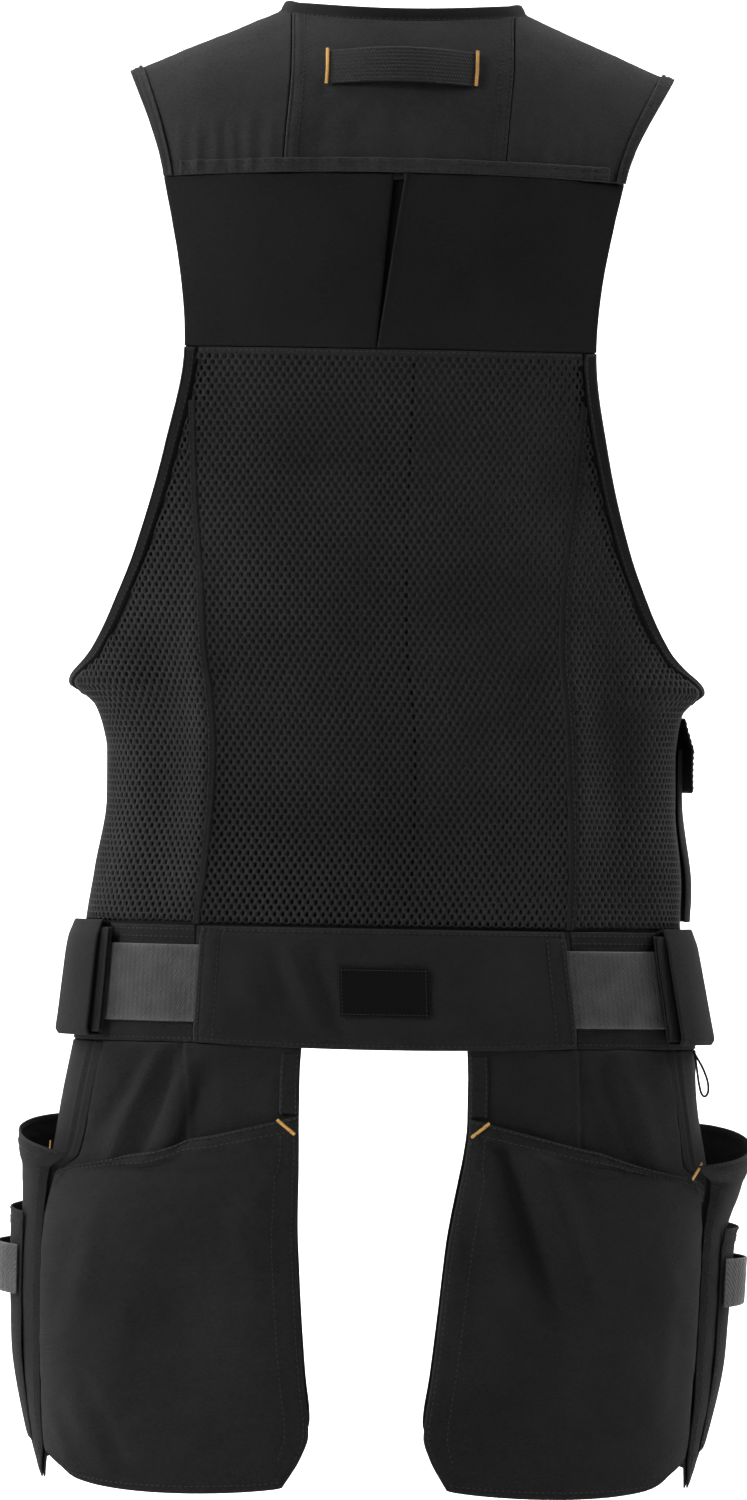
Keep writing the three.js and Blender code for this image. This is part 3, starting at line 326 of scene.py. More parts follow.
def clothMaterial(name, dark, light, roughness, threads, bump, slant=0, sheen=0.02, edge=0.35, speck=1500,
                  cloud=14, gloss=0.04):
    material = bpy.data.materials.new(name)
    material.use_nodes = True
    tree = material.node_tree
    shader = tree.nodes["Principled BSDF"]
    shader.inputs["Roughness"].default_value = roughness
    shader.inputs["Specular IOR Level"].default_value = gloss
    shader.inputs["Sheen Weight"].default_value = sheen
    shader.inputs["Sheen Roughness"].default_value = 0.5
    coordinate = tree.nodes.new("ShaderNodeUVMap")
    coordinate.uv_map = "cloth"
    place = tree.nodes.new("ShaderNodeTexCoord")
    weave = tree.nodes.new("ShaderNodeGroup")
    weave.node_tree = weaveGroup
    weave.inputs["Threads"].default_value = threads
    weave.inputs["Slant"].default_value = slant
    tree.links.new(coordinate.outputs[0], weave.inputs["Coordinate"])
    mottle = tree.nodes.new("ShaderNodeGroup")
    mottle.node_tree = mottleGroup
    mottle.inputs["Speck"].default_value = speck
    mottle.inputs["Cloud"].default_value = cloud
    tree.links.new(place.outputs["Object"], mottle.inputs["Coordinate"])
    worn = tree.nodes.new("ShaderNodeAttribute")
    worn.attribute_name = "edge"
    tree.links.new(mathNode(tree, "MULTIPLY", worn.outputs["Fac"], edge), mottle.inputs["Edge"])
    mix = tree.nodes.new("ShaderNodeMix")
    mix.data_type = "RGBA"
    for socketName, shade in (("A", dark), ("B", light)):
        colour = shade if isinstance(shade, tuple) else (shade, shade, shade * 1.03, 1)
        mix.inputs[socketName].default_value = colour
    mix.clamp_factor = True
    # Painted shade: the weave's low hollows darken the base colour.
    depth = mathNode(tree, "MULTIPLY", weave.outputs["PaintedGapShade"], 0.35)
    tree.links.new(mathNode(tree, "SUBTRACT", mottle.outputs["Tone"], depth), mix.inputs["Factor"])
    tree.links.new(mix.outputs["Result"], shader.inputs["Base Color"])
    bumpNode = tree.nodes.new("ShaderNodeBump")
    bumpNode.inputs["Strength"].default_value = bump
    bumpNode.inputs["Distance"].default_value = 0.0004
    tree.links.new(mathNode(tree, "ADD", weave.outputs["Height"], mottle.outputs["Speck"]),
                   bumpNode.inputs["Height"])
    tree.links.new(bumpNode.outputs["Normal"], shader.inputs["Normal"])
    return material


materials = {
    "yoke": clothMaterial("yokeCanvas", 0.014, 0.037, 0.9, 1500, 1, edge=0.12, speck=850),
    "yokeHem": clothMaterial("yokeHemCanvas", 0.014, 0.039, 0.9, 1500, 1, edge=0.2, speck=850),
    "canvas": clothMaterial("bodyCanvas", 0.0065, 0.023, 0.85, 1500, 1, edge=0.22, speck=800),
    "hem": clothMaterial("hemCanvas", 0.006, 0.021, 0.85, 1500, 1, edge=0.22, speck=800),
    "stretch": clothMaterial("stretchCloth", 0.007, 0.017, 0.92, 2400, 0.5, edge=0.05, speck=800),
    "net": clothMaterial("netYarn", 0.007, 0.034, 0.7, 1400, 0.9, slant=0.5, edge=0, gloss=0.06),
    "binding": clothMaterial("bindingTape", 0.006, 0.018, 0.85, 1500, 0.7, edge=0.2),
    "webbing": clothMaterial("strapWebbing", 0.014, 0.075, 0.6, 1100, 1.2, slant=0.5, gloss=0.2, cloud=60),
    "loop": clothMaterial("loopWebbing", 0.009, 0.03, 0.7, 1100, 1.2, slant=0.5, gloss=0.12),
    "gold": clothMaterial("tackThread", (0.33, 0.16, 0.03, 1), (0.85, 0.5, 0.15, 1), 0.5, 3000, 0.4,
                          gloss=0.3),
    "stitch": clothMaterial("seamThread", 0.014, 0.04, 0.7, 3000, 0.3, gloss=0.15),
    "patch": clothMaterial("patchCloth", 0.002, 0.005, 0.75, 2600, 0.4, edge=0.1),
    "zip": clothMaterial("zipMoulding", 0.004, 0.009, 0.6, 1200, 0.3, gloss=0.1),
    "plastic": clothMaterial("buckleMoulding", 0.006, 0.011, 0.42, 400, 0.05, sheen=0, speck=3000,
                             gloss=0.4),
    "cord": clothMaterial("cordJacket", 0.006, 0.015, 0.7, 1600, 0.8, slant=0.5),
}
print("materials ready")

# Mesh makers


def finishPiece(obj, nodes=()):
    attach(obj, root)
    if nodes:
        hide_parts(*nodes)


def newMesh(name, points, faces, finish, uv, edge=None):
    mesh = bpy.data.meshes.new(name)
    faces = faces if isinstance(faces, list) else faces.tolist()
    mesh.from_pydata((np.asarray(points) / 1000).tolist(), [], faces)
    loops = np.zeros(len(mesh.loops), np.int32)
    mesh.loops.foreach_get("vertex_index", loops)
    layer = mesh.uv_layers.new(name="cloth")
    layer.data.foreach_set("uv", np.asarray(uv, np.float32)[loops].ravel())
    worn = mesh.attributes.new("edge", "FLOAT", "POINT")
    edge = np.zeros(len(points)) if edge is None else edge
    worn.data.foreach_set("value", np.asarray(edge, np.float32))
    mesh.polygons.foreach_set("use_smooth", np.ones(len(mesh.polygons), bool))
    mesh.materials.append(materials[finish])
    mesh.update()
    obj = bpy.data.objects.new(name, mesh)
    bpy.context.scene.collection.objects.link(obj)
    return obj


def normalsOf(at, u, v, step=0.006):
    across = at(np.minimum(u + step, 1), v) - at(np.maximum(u - step, 0), v)
    down = at(u, np.minimum(v + step, 1)) - at(u, np.maximum(v - step, 0))
    return unit(np.cross(across, down))


def lengths(points, axis):
    steps = np.linalg.norm(np.diff(points, axis=axis), axis=-1)
    pad = [(0, 0), (0, 0)]
    pad[axis] = (1, 0)
    return np.cumsum(np.pad(steps, pad), axis=axis)


def layCloth(name, at, lift, wall, finish, nodes=(), pitch=3.0, relief=None,
             declare=True):
    probeU, probeV = np.meshgrid(np.linspace(0, 1, 25), np.linspace(0, 1, 25))
    probe = at(probeU, probeV)
    width, length = lengths(probe, 1)[:, -1].mean(), lengths(probe, 0)[-1].mean()
    columns, rows = max(int(width / pitch), 2), max(int(length / pitch), 2)
    us, vs = np.linspace(0, 1, columns + 1), np.linspace(0, 1, rows + 1)
    us[0], us[-1] = 0.5 * wall / width, 1 - 0.5 * wall / width
    vs[0], vs[-1] = 0.5 * wall / length, 1 - 0.5 * wall / length
    u, v = np.meshgrid(us, vs)
    ground = at(u, v)
    sample = normalsOf(at, np.array(0.4), np.array(0.4))
    flatOut = at(np.array(0.4), np.array(0.4)) * [1, 1, 0]
    facing = 1 if np.dot(sample, flatOut) > 0 else -1
    across, down = lengths(ground, 1), lengths(ground, 0)
    g = {"u": u, "v": v, "p": ground, "s": across, "sEnd": across[:, -1:] - across, "t": down,
         "tEnd": down[-1:] - down}
    height = lift(u, v) if callable(lift) else np.full(u.shape, float(lift))
    height = height + (relief(g) if relief else 0)
    normal = normalsOf(at, u, v) * facing
    outer, inner = ground + normal * (height + wall)[..., None], ground + normal * height[..., None]
    nv, nu = u.shape
    index = np.arange(nv * nu).reshape(nv, nu)
    loop = np.r_[index[0, :-1], index[:-1, -1], index[-1, :0:-1], index[:0:-1, 0]]
    ru, rv = u.ravel()[loop], v.ravel()[loop]
    ru = np.where(ru == us[0], 0, np.where(ru == us[-1], 1, ru))
    rv = np.where(rv == vs[0], 0, np.where(rv == vs[-1], 1, rv))
    rim = at(ru, rv) + normalsOf(at, ru, rv) * facing * (height.ravel()[loop] + wall / 2)[:, None]
    points = np.concatenate([outer.reshape(-1, 3), inner.reshape(-1, 3), rim])
    layer, base = nv * nu, 2 * nv * nu
    quads = np.stack([index[:-1, :-1], index[:-1, 1:], index[1:, 1:], index[1:, :-1]], -1).reshape(-1, 4)
    ring = np.arange(len(loop)) + base
    a, b, ma, mb = loop, np.roll(loop, -1), ring, np.roll(ring, -1)
    faces = np.concatenate([
        quads, quads[:, ::-1] + layer, np.stack([b, a, ma, mb], -1),
        np.stack([mb, ma, a + layer, b + layer], -1)])
    if facing < 0:
        faces = faces[:, ::-1]
    uv = np.stack([across, down], -1).reshape(-1, 2) / 1000
    uv = np.concatenate([uv, uv, uv[loop]])
    border = np.minimum(np.minimum(g["s"], g["sEnd"]), np.minimum(g["t"], g["tEnd"]))
    edge = np.exp(-border / 1.6).ravel()
    obj = newMesh(name, points, faces, finish, uv, np.concatenate([edge, edge, edge[loop]]))
    finishPiece(obj, nodes)
    made = SimpleNamespace(obj=obj, at=at, facing=facing, wall=wall, us=us, vs=vs, height=height)
    if declare:
        middle = (outer + inner) / 2
        area = np.linalg.norm(np.cross(middle[1:, 1:] - middle[:-1, :-1],
                                       middle[1:, :-1] - middle[:-1, 1:]), axis=-1)
        area = area.sum() / 2 / 1e6
        flatWidth, flatLength = max(width / 1000, 0.0101), length / 1000
        flatLength = max(flatLength, area / flatWidth)
    return made


def heightOn(cloth, u, v):
    i = np.clip(np.interp(v, cloth.vs, np.arange(len(cloth.vs))), 0, len(cloth.vs) - 1.001)
    j = np.clip(np.interp(u, cloth.us, np.arange(len(cloth.us))), 0, len(cloth.us) - 1.001)
    i0, j0 = i.astype(int), j.astype(int)
    fi, fj = i - i0, j - j0
    h = cloth.height
    return lerp(lerp(h[i0, j0], h[i0, j0 + 1], fj), lerp(h[i0 + 1, j0], h[i0 + 1, j0 + 1], fj), fi)


def lineOn(cloth, us, vs, above=0.15, count=160):
    t = np.linspace(0, 1, count)
    u = np.interp(t, np.linspace(0, 1, len(np.atleast_1d(us))), np.atleast_1d(us)) * np.ones(count)
    v = np.interp(t, np.linspace(0, 1, len(np.atleast_1d(vs))), np.atleast_1d(vs)) * np.ones(count)
    normal = normalsOf(cloth.at, u, v) * cloth.facing
    spot = cloth.at(u, v) + normal * (heightOn(cloth, u, v) + cloth.wall + above)[:, None]
    return spot, normal


# Stitches: a row of short threads along each line.
stitchSizes = {"pitch": 3.7, "length": 2.5, "width": 0.8, "height": 0.7}


def sewn(distance, rows, deep=0.8, wide=0.9):  # the hollow along each row of stitches
    return -deep * sum(np.exp(-((distance - row) / wide) ** 2) for row in rows)


def grain(p, seed, high=0.36):  # small uneven wrinkles all over a cloth
    fine = softNoise(p[..., 0], p[..., 2], 10, seed) + 0.5 * softNoise(p[..., 0], p[..., 2], 4.6, seed + 1)
    return high * fine


def hemFold(distance, width, rise=0.7):
    return rise * (1 - smoothStep(distance, width - 0.7, width + 0.7))


def sewnRipple(along, distance, seed, high=0.35):
    wave = np.sin(along / 1.5 + 3 * softNoise(along, distance * 0 + 1, 13, seed))
    return high * wave * np.exp(-(distance / 2.2) ** 2)


def geometryTree(name, inputs):
    tree = bpy.data.node_groups.new(name, "GeometryNodeTree")
    tree.interface.new_socket(name="Geometry", in_out="INPUT", socket_type="NodeSocketGeometry")
    for socketName, kind in inputs:
        tree.interface.new_socket(name=socketName, in_out="INPUT", socket_type=kind)
    tree.interface.new_socket(name="Geometry", in_out="OUTPUT", socket_type="NodeSocketGeometry")
    return tree, tree.nodes.new("NodeGroupInput"), tree.nodes.new("NodeGroupOutput")


def makeStitchTree():
    tree, given, out = geometryTree(
        "stitchRow",
        [("Pitch", "NodeSocketFloat"), ("Length", "NodeSocketFloat"), ("Width", "NodeSocketFloat"),
         ("Height", "NodeSocketFloat"), ("Turn", "NodeSocketFloat"), ("Thread", "NodeSocketMaterial")],
    )
    link = tree.links.new
    curve = tree.nodes.new("GeometryNodeMeshToCurve")
    link(given.outputs["Geometry"], curve.inputs["Mesh"])
    resample = tree.nodes.new("GeometryNodeResampleCurve")
    resample.mode = "LENGTH"
    link(curve.outputs["Curve"], resample.inputs["Curve"])
    link(given.outputs["Pitch"], resample.inputs["Length"])
    ball = tree.nodes.new("GeometryNodeMeshUVSphere")
    ball.inputs["Segments"].default_value = 6
    ball.inputs["Rings"].default_value = 4
    ball.inputs["Radius"].default_value = 0.5
    size = tree.nodes.new("ShaderNodeCombineXYZ")
    link(given.outputs["Length"], size.inputs[0])
    link(given.outputs["Width"], size.inputs[1])
    link(given.outputs["Height"], size.inputs[2])
    tangent = tree.nodes.new("GeometryNodeInputTangent")
    along = tree.nodes.new("FunctionNodeAlignRotationToVector")
    along.axis = "X"
    link(tangent.outputs[0], along.inputs["Vector"])
    up = tree.nodes.new("GeometryNodeInputNamedAttribute")
    up.data_type = "FLOAT_VECTOR"
    up.inputs["Name"].default_value = "up"
    upright = tree.nodes.new("FunctionNodeAlignRotationToVector")
    upright.axis = "Z"
    upright.pivot_axis = "X"
    link(along.outputs["Rotation"], upright.inputs["Rotation"])
    link(up.outputs["Attribute"], upright.inputs["Vector"])
    spin = tree.nodes.new("FunctionNodeRotateRotation")
    spin.rotation_space = "LOCAL"
    link(upright.outputs["Rotation"], spin.inputs["Rotation"])
    angle = tree.nodes.new("FunctionNodeAxisAngleToRotation")
    angle.inputs["Axis"].default_value = (0, 0, 1)
    link(given.outputs["Turn"], angle.inputs["Angle"])
    link(angle.outputs["Rotation"], spin.inputs["Rotate By"])
    place = tree.nodes.new("GeometryNodeInstanceOnPoints")
    link(resample.outputs["Curve"], place.inputs["Points"])
    link(ball.outputs["Mesh"], place.inputs["Instance"])
    link(spin.outputs["Rotation"], place.inputs["Rotation"])
    link(size.outputs[0], place.inputs["Scale"])
    real = tree.nodes.new("GeometryNodeRealizeInstances")
    link(place.outputs["Instances"], real.inputs["Geometry"])
    smooth = tree.nodes.new("GeometryNodeSetShadeSmooth")
    link(real.outputs["Geometry"], smooth.inputs["Geometry"])
    paint = tree.nodes.new("GeometryNodeSetMaterial")
    link(smooth.outputs["Geometry"], paint.inputs["Geometry"])
    link(given.outputs["Thread"], paint.inputs["Material"])
    link(paint.outputs["Geometry"], out.inputs["Geometry"])
    return tree


def bakeTree(obj, tree, values):
    modifier = obj.modifiers.new("nodes", "NODES")
    modifier.node_group = tree
    for item in tree.interface.items_tree:
        if item.item_type == "SOCKET" and item.in_out == "INPUT" and item.name in values:
            modifier[item.identifier] = values[item.name]
    graph = bpy.context.evaluated_depsgraph_get()
    mesh = bpy.data.meshes.new_from_object(obj.evaluated_get(graph))
    obj.modifiers.remove(modifier)
    old = obj.data
    obj.data = mesh
    bpy.data.meshes.remove(old)
    mesh.name = obj.name
    return mesh


def addCoordinates(mesh):
    count = len(mesh.vertices)
    spots = np.zeros(count * 3, np.float32)
    mesh.vertices.foreach_get("co", spots)
    spots = spots.reshape(-1, 3)
    loops = np.zeros(len(mesh.loops), np.int32)
    mesh.loops.foreach_get("vertex_index", loops)
    while mesh.uv_layers:
        mesh.uv_layers.remove(mesh.uv_layers[0])
    layer = mesh.uv_layers.new(name="cloth")
    layer.data.foreach_set("uv", spots[loops][:, [0, 2]].ravel())
    if "edge" not in mesh.attributes:
        worn = mesh.attributes.new("edge", "FLOAT", "POINT")
        worn.data.foreach_set("value", np.zeros(count, np.float32))


stitchTree = makeStitchTree()


def stitches(name, lines, finish="stitch", nodes=(), turned=0.0, **sizes):
    settings = {**stitchSizes, **sizes}
    points, edges, ups = [], [], []
    for spots, normals in lines:
        start = len(points)
        points.extend(spots / 1000)
        ups.extend(normals)
        edges.extend([(start + i, start + i + 1) for i in range(len(spots) - 1)])
    mesh = bpy.data.meshes.new(name)
    mesh.from_pydata([tuple(p) for p in points], edges, [])
    up = mesh.attributes.new("up", "FLOAT_VECTOR", "POINT")
    up.data.foreach_set("vector", np.asarray(ups, np.float32).ravel())
    obj = bpy.data.objects.new(name, mesh)
    bpy.context.scene.collection.objects.link(obj)
    baked = bakeTree(obj, stitchTree, {
        "Pitch": settings["pitch"] / 1000, "Length": settings["length"] / 1000,
        "Width": settings["width"] / 1000,
        "Height": settings["height"] / 1000, "Turn": turned, "Thread": materials[finish]})
    addCoordinates(baked)
    finishPiece(obj, nodes)


def makeNetTree():
    tree, given, out = geometryTree(
        "netCells",
        [("Hole", "NodeSocketFloat"), ("Slit", "NodeSocketFloat"), ("Thickness", "NodeSocketFloat"),
         ("Yarn", "NodeSocketMaterial")],
    )
    link = tree.links.new
    inset = tree.nodes.new("GeometryNodeExtrudeMesh")
    inset.mode = "FACES"
    inset.inputs["Offset Scale"].default_value = 0
    inset.inputs["Individual"].default_value = True
    link(given.outputs["Geometry"], inset.inputs["Mesh"])
    shrink = tree.nodes.new("GeometryNodeScaleElements")
    link(inset.outputs["Mesh"], shrink.inputs["Geometry"])
    link(inset.outputs["Top"], shrink.inputs["Selection"])
    link(given.outputs["Hole"], shrink.inputs["Scale"])
    normal = tree.nodes.new("GeometryNodeInputNormal")
    level = tree.nodes.new("ShaderNodeVectorMath")
    level.operation = "CROSS_PRODUCT"
    level.inputs[1].default_value = (0, 0, 1)
    link(normal.outputs[0], level.inputs[0])
    narrow = tree.nodes.new("GeometryNodeScaleElements")
    narrow.scale_mode = "SINGLE_AXIS"
    link(shrink.outputs["Geometry"], narrow.inputs["Geometry"])
    link(inset.outputs["Top"], narrow.inputs["Selection"])
    link(given.outputs["Slit"], narrow.inputs["Scale"])
    link(level.outputs[0], narrow.inputs["Axis"])
    upOf = tree.nodes.new("GeometryNodeInputNamedAttribute")
    upOf.data_type = "FLOAT_VECTOR"
    upOf.inputs["Name"].default_value = "up"
    full = tree.nodes.new("GeometryNodeStoreNamedAttribute")
    full.data_type = "FLOAT"
    full.domain = "POINT"
    full.inputs["Name"].default_value = "full"
    link(narrow.outputs["Geometry"], full.inputs["Geometry"])
    rounding = tree.nodes.new("GeometryNodeSwitch")
    rounding.input_type = "FLOAT"
    rounding.inputs["False"].default_value = 1.0
    rounding.inputs["True"].default_value = 0.4  # thinner round each hole
    link(inset.outputs["Top"], rounding.inputs["Switch"])
    link(rounding.outputs[0], full.inputs["Value"])
    cut = tree.nodes.new("GeometryNodeDeleteGeometry")
    cut.domain = "FACE"
    link(full.outputs["Geometry"], cut.inputs["Geometry"])
    link(inset.outputs["Top"], cut.inputs["Selection"])
    walls = tree.nodes.new("GeometryNodeExtrudeMesh")
    walls.mode = "FACES"
    walls.inputs["Offset Scale"].default_value = 0
    walls.inputs["Individual"].default_value = False
    link(cut.outputs["Geometry"], walls.inputs["Mesh"])
    fullOf = tree.nodes.new("GeometryNodeInputNamedAttribute")
    fullOf.data_type = "FLOAT"
    fullOf.inputs["Name"].default_value = "full"

    def moved(geometry, sign, selection=None):
        half = mathNode(tree, "MULTIPLY", given.outputs["Thickness"], 0.5 * sign)
        amount = mathNode(tree, "MULTIPLY", half, fullOf.outputs["Attribute"])
        offset = tree.nodes.new("ShaderNodeVectorMath")
        offset.operation = "SCALE"
        link(upOf.outputs["Attribute"], offset.inputs[0])
        link(amount, offset.inputs["Scale"])
        move = tree.nodes.new("GeometryNodeSetPosition")
        link(geometry, move.inputs["Geometry"])
        if selection is not None:
            link(selection, move.inputs["Selection"])
        link(offset.outputs[0], move.inputs["Offset"])
        return move.outputs["Geometry"]

    notTop = tree.nodes.new("FunctionNodeBooleanMath")
    notTop.operation = "NOT"
    link(walls.outputs["Top"], notTop.inputs[0])
    upper = moved(moved(walls.outputs["Mesh"], 1, walls.outputs["Top"]), -1, notTop.outputs[0])
    flip = tree.nodes.new("GeometryNodeFlipFaces")
    link(moved(cut.outputs["Geometry"], -1), flip.inputs["Mesh"])
    join = tree.nodes.new("GeometryNodeJoinGeometry")
    link(upper, join.inputs[0])
    link(flip.outputs["Mesh"], join.inputs[0])
    weld = tree.nodes.new("GeometryNodeMergeByDistance")
    weld.inputs["Distance"].default_value = 0.00002
    link(join.outputs[0], weld.inputs["Geometry"])
    real = tree.nodes.new("GeometryNodeRealizeInstances")
    link(weld.outputs["Geometry"], real.inputs["Geometry"])
    smooth = tree.nodes.new("GeometryNodeSetShadeSmooth")
    link(real.outputs["Geometry"], smooth.inputs["Geometry"])
    paint = tree.nodes.new("GeometryNodeSetMaterial")
    link(smooth.outputs["Geometry"], paint.inputs["Geometry"])
    link(given.outputs["Yarn"], paint.inputs["Material"])
    link(paint.outputs["Geometry"], out.inputs["Geometry"])
    return tree


netTree = makeNetTree()
netSizes = {"pitchAcross": 5.2, "pitchDown": 3.9, "hole": 0.74, "slit": 0.5, "thickness": 1.9,
            "widest": 840}


def knitNet(name, low, high, topDrop, lowDrop, start, sign, nodes):
    across, down = netSizes["pitchAcross"], netSizes["pitchDown"]
    rows = int((lowDrop - topDrop) / down - 0.34) + 1  # the last row keeps more than half of its cells
    vertices, faces, lookup = [], [], {}

    def corner(col2, row3):  # half columns and thirds of a row
        key = (col2, row3)
        if key not in lookup:
            lookup[key] = len(vertices)
            vertices.append(key)
        return lookup[key]

    most = int(netSizes["widest"] / 2 / across)
    thirds = range(-3, rows * 3 + 3)
    levels = -np.clip(topDrop + np.array(thirds) / 3 * down, topDrop, lowDrop)
    levelLow, levelHigh, tables = {}, {}, {}
    for k, z in zip(thirds, levels):
        a, b, c = float(low(z)), float(high(z)), float(start(z))
        angles = lerp(min(a, c), max(b, c), np.linspace(0, 1, 400))
        spots = body(sign * angles, z)
        arc = np.r_[0, np.cumsum(np.linalg.norm(np.diff(spots, axis=0), axis=-1))]
        arc -= np.interp(c, angles, arc)
        tables[k] = (arc, angles, z)
        levelLow[k], levelHigh[k] = np.interp(a, angles, arc), np.interp(b, angles, arc)
    for row in range(rows):
        k = row * 3
        for col in range(-most, most):
            middle = 2 * col + row % 2
            s = middle * across / 2
            if s < levelLow[k] + across * 0.1 or s > levelHigh[k] - across * 0.1:
                continue
            faces.append([corner(middle, k - 2), corner(middle + 1, k - 1), corner(middle + 1, k + 1),
                          corner(middle, k + 2), corner(middle - 1, k + 1), corner(middle - 1, k - 1)])
    spots = []
    for col2, k in vertices:
        arc, angles, z = tables[k]
        clipped = min(max(col2 * across / 2, levelLow[k]), levelHigh[k])
        spots.append((sign * np.interp(clipped, arc, angles), z))
    spots = np.array(spots)
    ground = body(spots[:, 0], spots[:, 1])
    around = body(spots[:, 0] + angleStep, spots[:, 1]) - body(spots[:, 0] - angleStep, spots[:, 1])
    rise = body(spots[:, 0], spots[:, 1] + 1) - body(spots[:, 0], spots[:, 1] - 1)
    up = unit(np.cross(around, rise))
    points = ground + up * netWall / 2
    if sign > 0:
        faces = [f[::-1] for f in faces]
    mesh = bpy.data.meshes.new(name)
    mesh.from_pydata((points / 1000).tolist(), [], faces)
    attribute = mesh.attributes.new("up", "FLOAT_VECTOR", "POINT")
    attribute.data.foreach_set("vector", up.astype(np.float32).ravel())
    obj = bpy.data.objects.new(name, mesh)
    bpy.context.scene.collection.objects.link(obj)
    baked = bakeTree(obj, netTree, {
        "Hole": netSizes["hole"], "Slit": netSizes["slit"], "Thickness": netSizes["thickness"] / 1000,
        "Yarn": materials["net"]})
    addCoordinates(baked)
    finishPiece(obj, nodes)
    print(name, len(baked.polygons), "faces")


print("makers ready")

# Cord
# A loop of thin cord hangs from under the right belt tab.
cord = {"diameter": 1.6, "angle": 77}
cordRows = [  # fall below the belt, way round from the angle, height over the hip
    (1, -3, 2.3), (6, -3.4, 5), (12, -3.8, 8), (19, -4, 10.2), (25, -3.6, 10.4), (29, -2, 8.6),
    (30, -0.6, 6), (27, 0.6, 4), (20, 1.2, 3), (11, 1, 2.6), (1, 0, 2.3),
]


def makeCord():
    middle = math.radians(cord["angle"])
    spots = []
    for fall, around, out in cordRows:
        z = -drops["beltLow"] - fall
        spots.append(outwards(middle + turn(middle, z, around), z, np.array(float(out))))
    spots = np.array(spots)
    t = np.linspace(0, len(spots) - 1, 64)
    fine = []
    padded = np.concatenate([[2 * spots[0] - spots[1]], spots, [2 * spots[-1] - spots[-2]]])
    for value in t:
        i = min(int(value), len(spots) - 2)
        f = value - i
        a, b, c, d = padded[i:i + 4]
        fine.append(0.5 * (2 * b + (c - a) * f + (2 * a - 5 * b + 4 * c - d) * f * f
                           + (3 * b - a - 3 * c + d) * f ** 3))
    fine = np.array(fine)
    tangents = unit(np.gradient(fine, axis=0))
    side = unit(np.cross(tangents, [0.2, 1, 0.1]))
    other = np.cross(tangents, side)
    count = 10
    angles = np.linspace(0, 2 * np.pi, count, endpoint=False)
    rings = fine[:, None] + cord["diameter"] / 2 * (
        side[:, None] * np.cos(angles)[None, :, None] + other[:, None] * np.sin(angles)[None, :, None])
    points = np.concatenate([rings.reshape(-1, 3), fine[[0]], fine[[-1]]])
    faces = []
    for r in range(len(fine) - 1):
        for i in range(count):
            j = (i + 1) % count
            faces.append([r * count + i, r * count + j, (r + 1) * count + j, (r + 1) * count + i])
    last = (len(fine) - 1) * count
    for i in range(count):
        j = (i + 1) % count
        faces.append([len(points) - 2, j, i])
        faces.append([len(points) - 1, last + i, last + j])
    length = np.linalg.norm(np.diff(fine, axis=0), axis=1).sum()
    along = np.repeat(np.linspace(0, length, len(fine)), count)
    uv = np.stack([np.tile(angles * cord["diameter"] / 2, len(fine)), along], -1) / 1000
    uv = np.concatenate([uv, [[0, 0], [0, length / 1000]]])
    obj = newMesh("zip_cord", points, faces, "cord", uv)
    finishPiece(obj, ["pull_cord"])
    print("cord", round(float(length), 1), "mm")


makeCord()

# Yoke
yoke = {"seamHalf": 71.5, "half": 148.5, "arch": 4.5, "neckDip": 4.1, "hemBand": 9, "shoulderHem": 8,
        "felled": 9.5}


def yokeLow(x):
    return -drops["yoke"] + yoke["arch"] * (1 - (x / yoke["half"]) ** 2)


def neckLine(x):
    return -form["neckDrop"] + yoke["neckDip"] * (x / yoke["seamHalf"]) ** 2


seamX = yoke["seamHalf"]
neckPart = (neckLine(seamX) - yokeLow(seamX)) / (shoulderLine(seamX) - yokeLow(seamX))


def yokeCentre(u, v):
    x = lerp(-1, 1, u) * (seamX - seamGap / 2)
    return onBody(x, lerp(neckLine(x), yokeLow(x), v))


def shoulderAt(sign, u, v):
    over = lerp(-1, 1, np.asarray(v, float))
    face = np.where(over < 0, -1, 1)
    climb = np.cos(over * np.pi / 2)
    seam = seamX + seamGap / 2
    part = np.where(over < 0, np.clip((climb - neckPart) / (1 - neckPart), 0, 1), climb)
    inner = lerp(seam, form["neckHalf"], part)
    outerLow = np.where(over < 0, yokeLow(yoke["half"]), -drops["frontYoke"])
    outer = edgeAt(lerp(outerLow, -drops["shoulder"], climb))
    x = lerp(inner, outer, u)
    low = np.where(over < 0, yokeLow(x), -drops["frontYoke"])
    return onBody(sign * x, lerp(low, shoulderLine(x), climb), face)


# Short soft puckers stand over the yoke's lower hem.
yokePuckers = [  # x, width, height
    (-142, 3.2, 0.9), (-131, 3, 1), (-119, 3.4, 1.1), (-108, 2.8, 0.8), (-97, 4, 1), (-84, 4, 0.7),
    (-40, 7, 1), (-12, 8, 0.9),
    (17, 7, 1.1), (38, 6, 0.8), (80, 4, 1), (94, 5, 1.1), (103, 3, 0.8), (112, 4, 1.1), (121, 3, 0.8),
    (130, 4, 1),
]


def yokeRelief(p):
    rise = np.zeros(p.shape[:-1])
    fade = smoothStep(p[..., 2], -108, -98) * (1 - smoothStep(p[..., 2], -88, -58))
    for x, wide, high in yokePuckers:
        rise += high * np.exp(-((p[..., 0] - x) / wide) ** 2)
    back = p[..., 1] < 0
    slow = 0.9 * softNoise(p[..., 0], p[..., 2] * 0.5, 26, 3)
    return np.where(back, rise * fade + slow * smoothStep(-p[..., 2], 0, 40) + grain(p, 6), 0.3 * slow)


def centreRelief(g):
    side = np.minimum(g["s"], g["sEnd"])
    felled = 0.6 * (1 - smoothStep(side, yoke["felled"] - 0.8, yoke["felled"] + 0.6))
    rows = sewn(side, (1.3, yoke["felled"] - 1.2)) + sewnRipple(g["t"], side - 1.3, 7, 0.3)
    return felled + rows + yokeRelief(g["p"])


